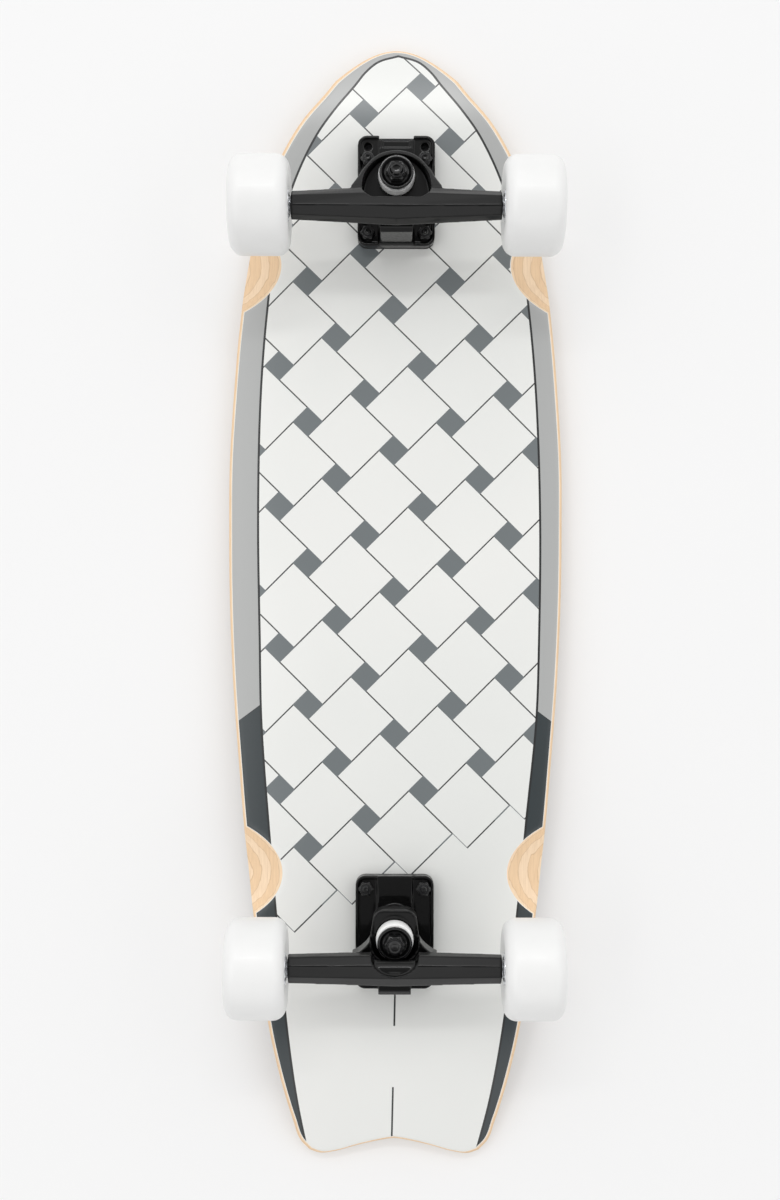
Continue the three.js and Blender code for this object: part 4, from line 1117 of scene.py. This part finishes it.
# Stage: a pale floor, a soft room that is dark overhead, two lamps, and a camera above the deck

FLOOR_REACH = 9
FLOOR_LEVEL = 0.66
FLOOR_GLOW = 0.25
WORLD_LEVEL = 0.64
WORLD_SWING = 0.16
WORLD_RING = 0.6
WORLD_RING_HEIGHTS = (0.25, 0.6)
WORLD_OVERHEAD = 0.92
WORLD_OVERHEAD_HEIGHTS = (0.8, 0.93)
LAMPS = {
    "key": {"place": (-0.3, 2.5, 3.8), "width": 2.4, "length": 0.3, "power": 24},
    "side": {"place": (-2.0, 0, 4.0), "width": 3.5, "length": 0.6, "power": 12},
}
CAMERA_HEIGHT = 1.150
CAMERA_SHIFT = (-0.00385, 0.0011)
CAMERA_TURN = 0.00245
CAMERA_LENS = 47.5
CAMERA_SENSOR_WIDTH = 36
CAMERA_CLIP_START = 0.01

bm = bmesh.new()
bmesh.ops.create_grid(bm, x_segments=1, y_segments=1, size=FLOOR_REACH)
floor_mesh = made_mesh("floor", bm)
floor = added("floor", floor_mesh)
glow = {"Emission_Color": (1, 1, 1, 1), "Emission_Strength": FLOOR_GLOW}
floor_finish = plain("floor_white", (FLOOR_LEVEL,) * 3, 0.9, size=0.5, shade=0.98, **glow)
floor_mesh.materials.append(floor_finish.material)

world = bpy.data.worlds.new("soft_room")
world.use_nodes = True
sky = world.node_tree
towards = sky.nodes.new("ShaderNodeSeparateXYZ")
sky.links.new(sky.nodes.new("ShaderNodeTexCoord").outputs["Generated"], towards.inputs[0])


def sky_part(axis, span, change, level):
    """Adds to the sky's level a change that grows over a span of one axis."""
    part = sky.nodes.new("ShaderNodeMapRange")
    part.interpolation_type = "SMOOTHSTEP"
    sockets = ("From Min", "From Max", "To Min", "To Max")
    for socket, value in zip(sockets, (*span, *change)):
        part.inputs[socket].default_value = value
    total = sky.nodes.new("ShaderNodeMath")
    sky.links.new(towards.outputs[axis], part.inputs["Value"])
    sky.links.new(part.outputs[0], total.inputs[0])
    if isinstance(level, float):
        total.inputs[1].default_value = level
    else:
        sky.links.new(level, total.inputs[1])
    return total.outputs[0]


level = sky_part("Y", (-1, 1), (-WORLD_SWING, WORLD_SWING), WORLD_LEVEL)
level = sky_part("Z", WORLD_RING_HEIGHTS, (0, WORLD_RING), level)
level = sky_part("Z", WORLD_OVERHEAD_HEIGHTS, (0, -WORLD_OVERHEAD), level)
sky.links.new(level, sky.nodes["Background"].inputs["Strength"])
sky.nodes["Background"].inputs["Color"].default_value = (1, 1, 1, 1)
bpy.context.scene.world = world


def area_light(name, place, width, length, power):
    """A soft light that faces the middle of the board."""
    light = bpy.data.lights.new(name, "AREA")
    light.shape = "RECTANGLE"
    light.size = width
    light.size_y = length
    light.energy = power
    lamp = added(name, light)
    lamp.location = place
    lamp.rotation_euler = (-Vector(place)).to_track_quat("-Z", "Y").to_euler()


for name, lamp in LAMPS.items():
    area_light(name, **lamp)

camera_data = bpy.data.cameras.new("camera")
camera_data.sensor_width = CAMERA_SENSOR_WIDTH
camera_data.lens = CAMERA_LENS
camera_data.clip_start = CAMERA_CLIP_START
camera = added("camera", camera_data)
above = Vector(underside["pos_m"]) + Vector((*CAMERA_SHIFT, CAMERA_HEIGHT))
camera.matrix_world = Matrix.Translation(above) @ Matrix.Rotation(CAMERA_TURN, 4, "Z")
bpy.context.scene.camera = camera
bpy.context.scene.view_settings.view_transform = "Standard"
